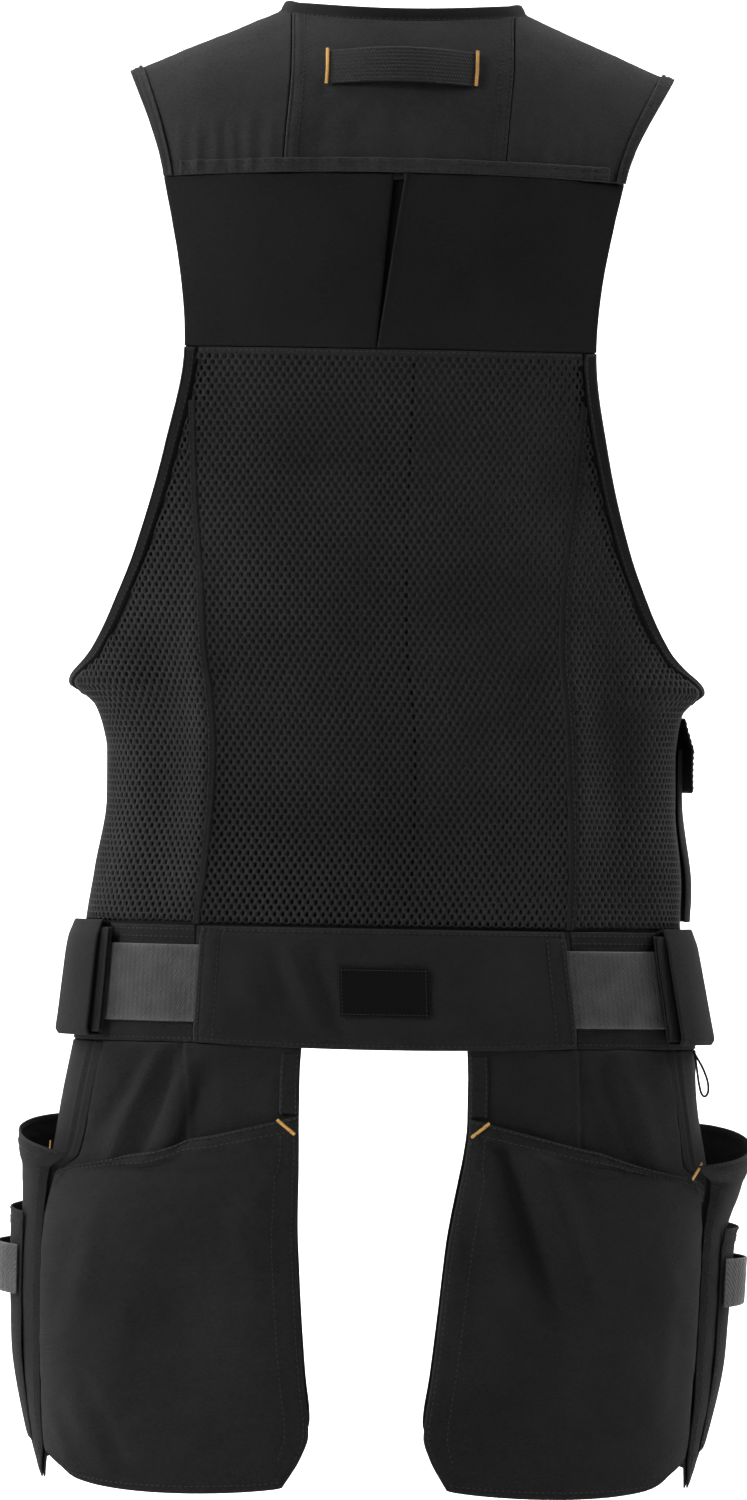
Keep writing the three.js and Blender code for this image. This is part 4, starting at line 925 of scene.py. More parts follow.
yokeMiddle = layCloth("yoke_middle", yokeCentre, 0, canvasWall, "yoke", ["yoke_centre"], 1.6, centreRelief)
hemPart = yoke["shoulderHem"] / (sections[0][1] - form["neckHalf"])
shoulderHems = {}
for side, sign in sides:
    def shoulderPanel(u, v, sign=sign):
        return shoulderAt(sign, u, v)

    layCloth(f"shoulder_{side}", shoulderPanel, 0, canvasWall, "yoke", [f"yoke_shoulder_{side}"], 2.0,
             lambda g: yokeRelief(g["p"]))

    def shoulderHem(u, v, sign=sign):
        return shoulderAt(sign, 1 - hemPart * (1 - u), v)

    def ripple(g):
        wave = 0.3 * np.sin(g["t"] / 1.3 + 2 * softNoise(g["t"], g["s"], 9, 4)) * np.exp(-g["s"] / 3)
        return yokeRelief(g["p"]) + wave + sewn(g["s"], (2.0, 6.2))

    shoulderHems[side] = layCloth(f"shoulder_edge_{side}", shoulderHem, onCloth, canvasWall, "yokeHem",
                                  [f"shoulder_hem_{side}"], 1.2, ripple, declare=False)

hemHalf = yoke["half"] - yoke["shoulderHem"] * 1.3 - seamGap


def yokeHem(u, v):
    x = lerp(-hemHalf, hemHalf, u)
    return onBody(x, yokeLow(x) + lerp(yoke["hemBand"], 0, v))


def hemRelief(g):
    pucker = 0.4 * np.sin(g["s"] / 1.35 + 2.5 * softNoise(g["s"], g["t"], 12, 5))
    rows = sewn(g["t"], (2.2, 7.2), 0.7)
    return pucker * (np.exp(-g["t"] / 2.5) + 0.6 * np.exp(-g["tEnd"] / 2)) + rows + yokeRelief(g["p"])


yokeBand = layCloth("yoke_hem", yokeHem, onCloth, canvasWall, "yokeHem", ["yoke_hem_band"], 1.1, hemRelief,
                    declare=False)
rows = [lineOn(yokeBand, [0.004, 0.996], 0.24, count=400), lineOn(yokeBand, [0.004, 0.996], 0.8, count=400)]
for offset in (1.3, yoke["felled"] - 1.2):
    part = offset / (2 * seamX)
    rows += [lineOn(yokeMiddle, part, [0.01, 0.9]), lineOn(yokeMiddle, 1 - part, [0.01, 0.9])]
stitches("yoke_stitching", rows)
for side in ("left", "right"):
    stitches(f"shoulder_stitching_{side}", [lineOn(shoulderHems[side], u, [0.005, 0.995], count=300)
                                            for u in (0.24, 0.77)])

# Hang loop
hangLoop = {"halfLength": 49, "width": 25, "drop": 36, "bow": 6, "tack": 2.8}
lean = np.linalg.norm(onBody(0, -hangLoop["drop"] + 1.0) - onBody(0, -hangLoop["drop"] - 1.0)) / 2
loopRise = hangLoop["width"] / 2 / lean


def loopAt(u, v):
    return onBody(lerp(-1, 1, u) * hangLoop["halfLength"], -hangLoop["drop"] + lerp(loopRise, -loopRise, v))


def loopLift(u, v):
    return onCloth + hangLoop["bow"] * np.maximum(np.sin(np.pi * u), 0) ** 1.2 + 0 * v


def ribbed(g, pitch=2.6, high=0.5):
    rib = high * np.abs(np.sin(np.pi * g["t"] / pitch))
    return rib + 0.08 * np.sin(2 * np.pi * (g["s"] / 1.9 + g["t"] / pitch / 2))


layCloth("hanger_loop", loopAt, loopLift, webbingWall - 0.3, "loop", ["hang_loop"], 0.6, ribbed)


def tack(name, start, end, ground, height, nodes=()):
    steps = np.linspace(0, 1, 60)
    x, z = lerp(start[0], end[0], steps), lerp(start[1], end[1], steps)
    spots = ground(x, z)
    runX, runZ = end[0] - start[0], end[1] - start[1]
    length = math.hypot(runX, runZ)
    nx, nz = -runZ / length, runX / length
    a, b = ground(x + nx, z + nz) - spots, ground(x + runX / length, z + runZ / length) - spots
    normal = unit(np.cross(a, b))
    normal *= np.sign((normal * (spots * [1, 1, 0])).sum(-1, keepdims=True))
    line = spots + normal * (height + 0.55)
    stitches(name, [(line, normal)], "gold", nodes, turned=math.pi / 2 - 0.12, pitch=0.62, length=2.7,
             width=0.8, height=0.9)


for side, sign in sides:
    x = sign * (hangLoop["halfLength"] - hangLoop["tack"] / 2)
    height = float(loopLift(hangLoop["tack"] / hangLoop["halfLength"] / 2, 0)) + webbingWall + 0.25
    tack(f"loop_tack_{side}", (x, -hangLoop["drop"] + loopRise), (x, -hangLoop["drop"] - loopRise), onBody,
         height, [f"hang_loop_tack_{side}"])
print("yoke and loop made")

# Stretch panels and pleat
pleat = {"topX": 3, "lowX": -9, "half": 3.2, "underlay": 26}


def pleatX(z):
    part = np.clip((-z - drops["yoke"]) / (drops["net"] - drops["yoke"]), 0, 1)
    return lerp(pleat["topX"], pleat["lowX"], part)


def slitAt(z):
    return pleat["half"] * np.clip((drops["net"] + z) / (drops["net"] - drops["yoke"]), 0, 1) + seamGap / 2


for side, sign in sides:
    def panel(u, v, sign=sign):
        outer = edgeAt(lerp(yokeLow(yoke["half"]) - seamGap, -drops["net"], v))
        level = lerp(yokeLow(outer * u) - seamGap, -drops["net"], v)
        return onBody(lerp(pleatX(level) + sign * slitAt(level), sign * outer, u), level)

    def stretchRelief(g, sign=sign):
        p = g["p"]
        fold = 2.2 * np.exp(-g["s"] / 3) * (1 - g["v"]) ** 0.5 * (1 if sign > 0 else -0.4)
        return fold + 0.8 * softNoise(p[..., 0], p[..., 2] * 0.6, 34, 8) + grain(p, 9, 0.16)

    layCloth(f"stretch_{side}", panel, 0, stretchWall, "stretch", [f"stretch_panel_{side}"], 2.2,
             stretchRelief)


def underlayAt(u, v):
    z = lerp(-drops["yoke"] + 7, -drops["net"] + 4, v)
    return onBody(pleatX(z) + (u - 0.5) * pleat["underlay"], z)


# The underlay takes the near-black patch cloth as painted shade, so the slit between the panels reads dark.
layCloth("pleat_inside", underlayAt, -stretchWall - 2.2, stretchWall, "patch", ["pleat_underlay"], 3)

# Armholes and nets
binding = {"width": 8.5, "gap": 1.3}


def armholePath(steps):
    t = np.linspace(0, 1, steps + 1)
    back = lerp(drops["net"] + seamGap, drops["armpit"], np.sin(t * np.pi / 2))
    front = lerp(drops["frontYoke"] + binding["width"] / 4, drops["armpit"], np.sin(t * np.pi / 2))
    theta = np.r_[angleAt(edgeAt(-back), -back), angleAt(edgeAt(-front), -front, 1)[::-1][1:]]
    return theta, np.r_[-back, -front[::-1][1:]]


def inset(path, width):
    theta, z = path
    last = len(theta) - 1
    i = np.arange(last + 1)
    before, after = np.maximum(i - 1, 0), np.minimum(i + 1, last)
    run = body(theta[after], z[after]) - body(theta[before], z[before])
    around = (body(theta + angleStep, z) - body(theta - angleStep, z)) / (2 * angleStep)
    rise = (body(theta, z + 1) - body(theta, z - 1)) / 2
    into = unit(np.cross(run, np.cross(around, rise))) * width
    innerTheta = theta + (into * around).sum(-1) / (around ** 2).sum(-1)
    return innerTheta, z + (into * rise).sum(-1) / (rise ** 2).sum(-1)


armSteps = 60
armhole = armholePath(armSteps)
bindingInner = inset(armhole, binding["width"])
clothEdge = inset(armhole, binding["width"] + binding["gap"])


def pathTable(path, part):
    theta, z = path[0][part], -path[1][part]
    order = np.argsort(z)
    return z[order], theta[order]


backEdge = pathTable(clothEdge, slice(0, armSteps + 1))
frontEdge = pathTable(clothEdge, slice(armSteps, None))


def backEdgeAt(z):
    return np.interp(-z, *backEdge)


def frontEdgeAt(z):
    return np.interp(-z, *frontEdge)


for side, sign in sides:
    def bindingAt(u, v, sign=sign):
        at = np.asarray(v) * (len(armhole[0]) - 1)
        index = np.arange(len(armhole[0]))
        theta = lerp(np.interp(at, index, armhole[0]), np.interp(at, index, bindingInner[0]), u)
        z = lerp(np.interp(at, index, armhole[1]), np.interp(at, index, bindingInner[1]), u)
        return body(sign * theta, z)

    def bindingRelief(g):
        ridge = 0.6 * np.exp(-g["s"] / 1.6) + sewn(g["s"], (6.4,))
        return ridge + 0.12 * np.sin(g["t"] / 1.1) * np.exp(-g["sEnd"] / 2)

    piece = layCloth(f"armhole_edge_{side}", bindingAt, -(bindingWall - netWall) / 2, bindingWall,
                     "binding", [f"armhole_binding_{side}"], 1.2, bindingRelief, declare=False)
    stitches(f"armhole_stitching_{side}", [lineOn(piece, 0.76, [0.004, 0.996], count=500)])

sideSeam = math.radians(88)
seamTop = float(np.interp(drops["netSeam"], *backEdge))
power = form["bodyPower"]
acrossTop = (math.sin(seamTop) ** power + math.cos(seamTop) ** power) / math.sin(seamTop) ** power
acrossTop = acrossTop ** (-1 / power)
netSeamHalves = [part * form["beltHalf"] for part in (0.637, 0.606, 0.596, 0.627, 0.645)]
netSeamCurve = curveThrough(
    [drops["netSeam"], chest(0.45), chest(0.747), waist(0.2), drops["belt"], drops["beltLow"]],
    [float(halfAt(-drops["netSeam"])) * acrossTop, *netSeamHalves])


def netSeam(z):
    return angleAt(netSeamCurve(-z), z)


def outerEdge(z):
    return np.minimum(backEdgeAt(z), sideSeam)


def backNetEdge(z):
    return np.minimum(netSeam(z) - turn(netSeam(z), z, seamGap / 2), outerEdge(z))


netTop = drops["net"] + seamGap
netEdges = {"top": 4, "seamHalf": 2.4, "strip": 5}
knitNet("net_back", lambda z: -backNetEdge(z), backNetEdge, netTop + 2, drops["belt"], lambda z: 0, 1,
        ["back_net"])
for side, sign in sides:
    knitNet(f"net_side_{side}", lambda z: netSeam(z) + turn(netSeam(z), z, seamGap / 2), outerEdge,
            drops["netSeam"] + 5, drops["belt"], lambda z: netSeam(z), sign, [f"side_net_{side}"])


# Turned edges of the nets: along the top, down both side seams, and by the armholes.
def netTopAt(u, v):
    z = -lerp(netTop, netTop + netEdges["top"], v)
    edge = outerEdge(z)
    return body(lerp(-edge, edge, u), z)


topHem = layCloth("net_top_edge", netTopAt, 0, netWall, "net", (), 1.2,
                  lambda g: 0.2 * np.sin(g["s"] / 1.0) * np.exp(-g["t"] / 1.5), declare=False)
stitches("net_top_stitching", [lineOn(topHem, [0.01, 0.99], 0.4, count=300)])
for side, sign in sides:
    def seamAt(u, v, sign=sign):
        z = -lerp(drops["netSeam"] + 3, drops["belt"] - 0.5, v)
        middle = netSeam(z)
        aside = turn(middle, z, lerp(-netEdges["seamHalf"], netEdges["seamHalf"], u))
        return body(sign * (middle + aside), z)

    def seamRelief(g):
        wave = 0.3 * np.sin(g["t"] / 1.9 + 3 * softNoise(g["t"], g["s"] * 0, 16, 14))
        ridge = 0.6 * np.exp(-((g["u"] - 0.34) / 0.2) ** 2)
        return ridge - 0.5 * np.exp(-((g["u"] - 0.7) / 0.1) ** 2) + wave

    seam = layCloth(f"net_seam_{side}", seamAt, netWall * 0.6, 0.9, "binding", (), 1.1, seamRelief,
                    declare=False)
    stitches(f"net_seam_stitching_{side}", [lineOn(seam, 0.84, [0.01, 0.99], count=400)])

    def edgeStripAt(u, v, sign=sign):
        z = -lerp(drops["armpit"] - 6, drops["belt"] - 0.5, v)
        outer = outerEdge(z)
        return body(sign * (outer - turn(outer, z, lerp(netEdges["strip"], 0, u))), z)

    layCloth(f"net_side_edge_{side}", edgeStripAt, 0, netWall, "net", (), 1.6, declare=False)
print("nets made")

# Fronts
frontSizes = {"neckEnd": 6.5, "chainHalf": 6, "tapeHalf": 15, "bandLow": -1.6, "bandHigh": 9.4}


def frontInner(z):
    fall = np.clip((-z - drops["frontYoke"]) / (drops["zip"] - drops["frontYoke"]), 0, 1)
    return frontSizes["neckEnd"] + (seamX + seamGap / 2 - frontSizes["neckEnd"]) * (1 - fall) ** 1.4


for side, sign in sides:
    def frontAt(u, v, sign=sign):
        z = -lerp(drops["frontYoke"] + seamGap, drops["belt"], v)
        outer = np.maximum(frontEdgeAt(z), sideSeam + turn(sideSeam, z, seamGap))
        return body(sign * lerp(angleAt(frontInner(z), z, 1), outer, u), z)

    front = layCloth(f"front_{side}", frontAt, 0, canvasWall, "canvas", [f"front_panel_{side}"], 3.2,
                     lambda g: 1.1 * softNoise(g["p"][..., 0], g["p"][..., 2] * 0.7, 46, 12))
    stitches(f"front_stitching_{side}", [lineOn(front, 0.03, [0.15, 0.995], count=400),
                                         lineOn(front, [0.02, 0.98], 0.008, count=120)])


def zipAt(u, v):
    return onBody(lerp(-1, 1, u) * frontSizes["chainHalf"] + 1e-6, -lerp(drops["zip"], drops["belt"], v), 1)


def zipRelief(g):
    chain = np.exp(-((g["u"] - 0.5) / 0.17) ** 2)
    return chain * (0.3 + 0.6 * np.abs(np.sin(np.pi * g["t"] / 2.4)))


def zipTapeAt(u, v):
    z = -lerp(drops["zip"] + 2, drops["belt"], v)
    return onBody(lerp(-1, 1, u) * frontSizes["tapeHalf"] + 1e-6, z, 1)


layCloth("zip_tape", zipTapeAt, -1.6, 0.9, "zip", (), 2.5, declare=False)
layCloth("zip_chain", zipAt, -(3 - canvasWall) / 2, 2.2, "zip", ["front_zip"], 0.8, zipRelief,
         declare=False)


# Neck band: up the front, over both shoulders and round the back of the neck.
def neckPoint(t):
    t = np.asarray(t, float)
    part, sign = np.abs(t) * 3, np.where(t < 0, -1, 1)
    x = np.clip(part, 0, 1) * seamX
    back = onBody(sign * x, neckLine(x))
    over = lerp(-math.acos(neckPart) / (math.pi / 2), 1, np.clip(part - 1, 0, 1))
    topRight = shoulderAt(1, np.zeros_like(over), (over + 1) / 2)
    topLeft = shoulderAt(-1, np.zeros_like(over), (over + 1) / 2)
    top = np.where(sign[..., None] < 0, topLeft, topRight)
    z = -lerp(drops["frontYoke"], drops["zip"], np.clip(part - 2, 0, 1))
    low = onBody(sign * frontInner(z), z, 1)
    return np.where(part[..., None] < 1, back, np.where(part[..., None] < 2, top, low))


def neckBandAt(u, v):
    t = lerp(-1, 1, np.asarray(u, float))
    step = 0.004
    spot = neckPoint(t)
    run = unit(neckPoint(np.minimum(t + step, 1)) - neckPoint(np.maximum(t - step, -1)))
    inward = np.stack([-spot[..., 0], -0.6 * spot[..., 1], np.abs(spot[..., 1]) / 2], -1)
    stand = np.clip(1 + spot[..., 2] / drops["frontYoke"], 0, 1)
    up = unit(unit(inward) + np.stack([0 * stand, 0 * stand, 1.6 * stand], -1))
    rise = unit(up - run * (up * run).sum(-1, keepdims=True))
    return spot + rise * lerp(frontSizes["bandLow"], frontSizes["bandHigh"], np.asarray(v))[..., None]


neck = layCloth("neck_edge", neckBandAt, -bindingWall / 2, bindingWall, "binding", ["neck_band"], 1.5,
                lambda g: 0.2 * np.sin(g["s"] / 1.1) * np.exp(-g["t"] / 1.6) + sewn(g["t"], (2.4,)),
                declare=False)
stitches("neck_stitching", [lineOn(neck, [0.01, 0.99], 0.22, count=900)])
print("fronts and neck made")

# Seam allowances lie behind the joins, as the cloth is turned in there.
allowance = {"half": 5, "yokeHalf": 4.5, "sunk": -1.15, "wall": 0.9, "pitch": 2.4}


def seamBacking(name, line):
    def at(u, v):
        theta, z = line(np.asarray(u, float))
        return body(theta, z + lerp(allowance["yokeHalf"], -allowance["yokeHalf"], v))

    layCloth(name, at, allowance["sunk"], allowance["wall"], "stretch", (), allowance["pitch"],
             declare=False)


def acrossYoke(u):
    x = lerp(-1, 1, u) * (yoke["half"] - 2.5)
    z = yokeLow(x)
    return angleAt(x, z), z


def acrossNet(u):
    z = np.full_like(u, -drops["net"] - 0.3)
    edge = angleAt(edgeAt(z), z)
    return lerp(-1, 1, u) * (edge - turn(edge, z, 0.3)), z


seamBacking("yoke_seam_allowance", acrossYoke)
seamBacking("net_seam_allowance", acrossNet)
armBack = inset(armhole, binding["width"] - 2.5)
armDeep = inset(armhole, binding["width"] + 6)
hipJoinFrom = float(angleAt(form["gapHalf"] + 1, -drops["beltLow"] - allowance["half"]))
hipJoinTo = float(angleAt(form["gapHalf"] + 1, -drops["beltLow"] - allowance["half"], 1))
for side, sign in sides:
    def yokeSide(u, v, sign=sign):
        x = seamX + lerp(-allowance["half"], allowance["half"], v)
        z = lerp(neckLine(seamX) + 2, yokeLow(seamX) + 2, u)
        return onBody(sign * x, z)

    layCloth(f"yoke_side_allowance_{side}", yokeSide, -0.95, allowance["wall"], "yoke", (),
             allowance["pitch"], declare=False)

    def frontYoke(u, v, sign=sign):
        x = lerp(seamX + 1, float(edgeAt(-drops["frontYoke"])) - 2, u)
        return onBody(sign * x, -drops["frontYoke"] + lerp(allowance["half"], -allowance["half"], v), 1)

    layCloth(f"front_yoke_allowance_{side}", frontYoke, allowance["sunk"], allowance["wall"], "stretch", (),
             allowance["pitch"], declare=False)

    def armAllowance(u, v, sign=sign):
        at = lerp(0.01, 0.99, np.asarray(v)) * (len(armhole[0]) - 1)
        index = np.arange(len(armhole[0]))
        theta = lerp(np.interp(at, index, armBack[0]), np.interp(at, index, armDeep[0]), u)
        z = lerp(np.interp(at, index, armBack[1]), np.interp(at, index, armDeep[1]), u)
        return body(sign * theta, z)

    layCloth(f"armhole_allowance_{side}", armAllowance, -1.6, allowance["wall"], "binding", (), 2.2,
             declare=False)

    def beltJoin(u, v, sign=sign):
        z = -drops["belt"] + lerp(allowance["half"], -allowance["half"], v)
        return body(sign * lerp(0.0, math.pi - 0.02, u), z)

    layCloth(f"belt_allowance_{side}", beltJoin, allowance["sunk"], allowance["wall"], "stretch", (), 3,
             declare=False)

    def hipJoin(u, v, sign=sign):
        z = -drops["beltLow"] - 0.3 + lerp(allowance["half"], -allowance["half"], v)
        return body(sign * lerp(hipJoinFrom, hipJoinTo, u), z)

    layCloth(f"hip_allowance_{side}", hipJoin, allowance["sunk"], allowance["wall"], "stretch", (), 3,
             declare=False)

    def sideJoin(u, v, sign=sign):
        z = -lerp(drops["armpit"] + 12, drops["belt"] + 2, v)
        aside = turn(sideSeam, z, lerp(-allowance["half"], allowance["half"], u))
        return body(sign * (sideSeam + aside), z)

    layCloth(f"side_allowance_{side}", sideJoin, allowance["sunk"], allowance["wall"], "stretch", (),
             allowance["pitch"], declare=False)
print("seam allowances made")

# Belt
belt = {"webbing": 50, "webbingDrop": 602, "tuck": 14, "panelTop": 116, "panelLow": 123, "panelBow": 3,
        "tabBack": 178, "tabLength": 46, "tabDepth": 12, "flapReach": 7, "flapSpread": 2.4}
bandTop, bandLow = -drops["belt"] - seamGap, -drops["beltLow"]


def bandSeam(z):
    return netSeam(z) - turn(netSeam(z), z, seamGap / 2)


def bandBack(u, v):
    z = lerp(bandTop, bandLow, v)
    return body(lerp(-bandSeam(z), bandSeam(z), u), z)


def bandRelief(g):
    pucker = 0.35 * np.sin(g["s"] / 1.6 + 3 * softNoise(g["s"], g["t"], 14, 15))
    rows = sewn(g["t"], (2.7, 7.6)) + sewn(g["tEnd"], (2.7,))
    slow = 0.5 * softNoise(g["s"], g["t"] * 0.6, 17, 16)
    return pucker * np.exp(-g["t"] / 3) + slow + 0.4 * np.exp(-g["t"] / 5) + rows


layCloth("waistband_middle", bandBack, 0, canvasWall, "canvas", ["waistband_back"], 3)
for side, sign in sides:
    def bandSide(u, v, sign=sign):
        z = lerp(bandTop, bandLow, v)
        start = netSeam(z) + turn(netSeam(z), z, seamGap / 2)
        return body(sign * lerp(start, angleAt(seamGap, z, 1), u), z)

    band = layCloth(f"waistband_side_{side}", bandSide, 0, canvasWall, "canvas", [f"waistband_{side}"], 2.2,
                    bandRelief)
    stitches(f"waistband_stitching_{side}", [lineOn(band, [0.004, 0.99], 0.035, count=400),
                                             lineOn(band, [0.004, 0.99], 0.1, count=400),
                                             lineOn(band, [0.004, 0.99], 0.965, count=400)])

tabMiddle = belt["webbingDrop"] + belt["webbing"] / 2
tabFrom = float(angleAt(belt["tabBack"], -tabMiddle))
tabTo = tabFrom + float(turn(tabFrom, -tabMiddle, belt["tabLength"]))


def webbingLift(theta):
    outside = np.maximum(np.maximum(tabFrom - np.abs(theta), np.abs(theta) - tabTo), 0)
    return onCloth + onCloth * (1 - smoothStep(outside, 0.03, 0.14))


webStart = float(angleAt(belt["panelTop"] - belt["tuck"], -tabMiddle))
webEnd = float(angleAt(31.5, -tabMiddle, 1))


def webbingRelief(g):
    columns = 0.5 * np.abs(np.sin(np.pi * g["s"] / 3.4))
    picks = 0.3 * np.abs(np.sin(np.pi * (g["t"] / 2.4 + 0.5 * np.floor(g["s"] / 3.4))))
    return columns * (0.55 + picks)


for side, sign in sides:
    def webbingAt(u, v, sign=sign):
        z = -lerp(belt["webbingDrop"], belt["webbingDrop"] + belt["webbing"], v)
        return body(sign * lerp(webStart, webEnd, u), z)

    layCloth(f"belt_webbing_{side}", webbingAt, lambda u, v: webbingLift(lerp(webStart, webEnd, u)),
             webbingWall - 0.3, "webbing", [f"webbing_{side}"], 0.8, webbingRelief)

overWebbing = onCloth + webbingWall + 0.5
panelCreases = [  # soft slanting wrinkles: from x, z, to x, z, width, height
    (-64, -598, -38, -664, 6, 2.1), (-50, -594, -24, -666, 5, -2.1), (-94, -604, -78, -660, 8, 1.3),
    (-76, -598, -58, -648, 5, -1.4),
    (-12, -600, 2, -640, 9, 0.9), (40, -600, 44, -655, 6, 1.1), (56, -604, 66, -660, 7, -1),
    (84, -600, 92, -650, 8, 0.9), (-34, -596, -30, -618, 4, 0.9), (-104, -606, -98, -660, 5, -0.7),
]


def beltPanelAt(u, v):
    x = lerp(-1, 1, u) * lerp(belt["panelTop"], belt["panelLow"], v)
    low = -drops["beltLow"] - belt["panelBow"] * (1 - (2 * u - 1) ** 2)
    return onBody(x + 1e-6, lerp(bandTop - seamGap, low, v))


def panelLift(u, v):
    near = np.minimum(v, 1 - v)
    return lerp(onCloth, overWebbing, smoothStep(near, 0.0, 0.11))


def panelRelief(g):
    pucker = 0.3 * np.sin(g["s"] / 1.5 + 3 * softNoise(g["s"], g["t"], 12, 21)) * np.exp(-g["t"] / 3.5)
    rows = sewn(g["t"], (2.5,)) + sewn(g["tEnd"], (2.7,)) + sewn(np.minimum(g["s"], g["sEnd"]), (2.4, 12.4))
    slow = 0.4 * softNoise(g["p"][..., 0], g["p"][..., 2], 22, 22)
    return creases(g["p"], panelCreases) + slow + pucker + rows + grain(g["p"], 23)


beltPanel = layCloth("belt_back_panel", beltPanelAt, panelLift, 2.0, "canvas", ["back_belt_panel"], 1.5,
                     panelRelief)
stitches("belt_panel_stitching", [
    lineOn(beltPanel, [0.008, 0.992], 0.03, count=300), lineOn(beltPanel, [0.008, 0.992], 0.965, count=300),
    lineOn(beltPanel, 0.01, [0.03, 0.97]), lineOn(beltPanel, 0.99, [0.03, 0.97]),
    lineOn(beltPanel, 0.052, [0.03, 0.97]), lineOn(beltPanel, 0.948, [0.03, 0.97])])

# Blank woven patch
patch = {"width": 58, "height": 32, "wall": 1.2, "drop": 630.8}
patchTop = onBody(1e-6, -patch["drop"] + patch["height"] / 2)
patchLow = onBody(1e-6, -patch["drop"] - patch["height"] / 2)


def patchAt(u, v):
    spot = lerp(patchTop, patchLow, np.asarray(v)[..., None])
    return spot + np.asarray(lerp(-0.5, 0.5, u) * patch["width"])[..., None] * np.array([1.0, 0, 0])


patchCloth = layCloth("belt_label", patchAt, overWebbing + 2.5, patch["wall"], "patch", ["belt_patch"], 1.2,
                      lambda g: 0.12 * softNoise(g["s"], g["t"], 9, 31))
stitches("label_stitching", [
    lineOn(patchCloth, [0.03, 0.97], 0.055), lineOn(patchCloth, [0.03, 0.97], 0.945),
    lineOn(patchCloth, 0.03, [0.06, 0.94]),
    lineOn(patchCloth, 0.97, [0.06, 0.94])], pitch=2.4, length=1.9, width=0.45, height=0.35)

# Belt tabs
tabLoop = [(0, 0), (0, 0.955), (0.7, 1), (1, 0.84), (1.12, 0.05), (0.9, 0)]
tabTop, tabLow = -drops["belt"] + 2.5, -drops["beltLow"] + 3


def roundedLoop(points, steps, soft):
    out = []
    count = len(points)
    for i in range(count):
        a, b, c = points[i - 1], points[i], points[(i + 1) % count]
        start, end = lerp(b, a, soft), lerp(b, c, soft)
        for t in np.linspace(0, 1, steps):
            out.append((1 - t) ** 2 * start + 2 * t * (1 - t) * b + t * t * end)
    return np.array(out)


def sleeve(name, sign, nodes):
    stations = 26
    angles = sign * np.linspace(tabFrom, tabTo, stations)
    layers = []
    for wall in (0, canvasWall):
        loop = [(lerp(wall, belt["tabDepth"] - wall, d), lerp(tabLow + wall, tabTop - wall, r))
                for d, r in tabLoop]
        fine = roundedLoop(np.array(loop), 5, 0.16)
        theta, depth = np.meshgrid(angles, fine[:, 0], indexing="ij")
        z = np.broadcast_to(fine[:, 1], theta.shape)
        ripple = 0.35 * softNoise(z + 500, theta * 150, 16, 40 + sign)
        layers.append(outwards(theta, z, onCloth + depth + ripple * (depth > 3)))
    count = layers[0].shape[1]
    points = np.concatenate([layers[0].reshape(-1, 3), layers[1].reshape(-1, 3)])
    base = stations * count
    faces = []
    for i in range(count):
        j = (i + 1) % count
        for s in range(stations - 1):
            faces.append([s * count + i, (s + 1) * count + i, (s + 1) * count + j, s * count + j])
            faces.append([base + s * count + i, base + s * count + j, base + (s + 1) * count + j,
                          base + (s + 1) * count + i])
        last = (stations - 1) * count
        faces.append([i, j, base + j, base + i])
        faces.append([last + i, base + last + i, base + last + j, last + j])
    if sign > 0:
        faces = [f[::-1] for f in faces]
    uv = np.concatenate([np.stack([p[..., 1], p[..., 2]], -1).reshape(-1, 2) for p in layers]) / 1000
    obj = newMesh(name, points, faces, "canvas", uv)
    finishPiece(obj, nodes)
    edge = np.zeros(len(points), np.float32)
    edge[:count] = edge[base - count:base] = 0.8
    obj.data.attributes["edge"].data.foreach_set("value", edge)


overTabWebbing = onCloth * 2 + webbingWall + 0.5 + canvasWall
for side, sign in sides:
    sleeve(f"tab_{side}", sign, [f"belt_tab_{side}"])

    def flapAt(u, v, sign=sign):
        u = np.asarray(u, float)
        run = np.abs(u * 2 - 1)
        reachAngle = float(turn(tabFrom, -tabMiddle, belt["flapReach"]))
        z = lerp(tabTop - canvasWall - belt["tabDepth"] / 3, tabLow + canvasWall + seamGap * 2, v)
        outer = smoothStep(u, 0.46, 0.54)
        theta = sign * lerp(tabTo - reachAngle, tabFrom - reachAngle, 1 - np.sqrt((1 - run) ** 2 + 0.0006))
        return outwards(theta, z, overTabWebbing + outer * belt["flapSpread"])

    layCloth(f"tab_fold_{side}", flapAt, -canvasWall / 2, canvasWall, "hem", [f"belt_tab_flap_{side}"], 1.2,
             declare=False)
print("belt made")

# Hips
hips = {"innerDrop": 711, "outerDrop": 754, "mouth": 4, "puff": 7, "backRound": 7, "sideRound": -13,
        "slip": 14, "rise": 4,
        "flare": 10.5, "tuck": 6, "sideMouth": 33, "pocketPuff": 8, "loopWidth": 30, "loopBow": 7,
        "strip": 12}
hipParts = [0, 0.09, 0.18, 0.26, 0.3, 0.48, 0.62, 0.76, 0.88, 0.93, 1]
innerCurve = curveThrough(hipParts, [0.98, 1, 1, 0.975, 0.955, 0.87, 0.81, 0.74, 0.67, 0.75, 0.96])
creaseCurve = curveThrough(hipParts, [0.867, 0.892, 0.912, 0.93, 0.983, 0.997, 0.995, 0.99, 0.985, 0.98,
                                      0.9])
rearCurve = curveThrough(hipParts, [0.867, 0.892, 0.912, 0.93, 0.983, 0.997, 0.995, 0.99, 0.985, 0.98,
                                    0.98])
slipCurve = curveThrough(hipParts, [0, 0, 0, 0.1, 0.2, 0, 0, 0, 0, 0.2, 1])
rimCurve = curveThrough([0, 0.25, 0.55, 1], [0.26, 0.225, 0.18, 0.15])
joinPart = 0.48


def partOf(z):
    return (-z - drops["beltLow"]) / (drops["hem"] - drops["beltLow"])


def inwards(u):
    return np.maximum(np.sin(np.pi * np.asarray(u, float)), 0)


def backAngles(z):
    return angleAt(innerCurve(partOf(z)) * form["gapHalf"], z), angleAt(creaseCurve(partOf(z)) * hipHalf, z)


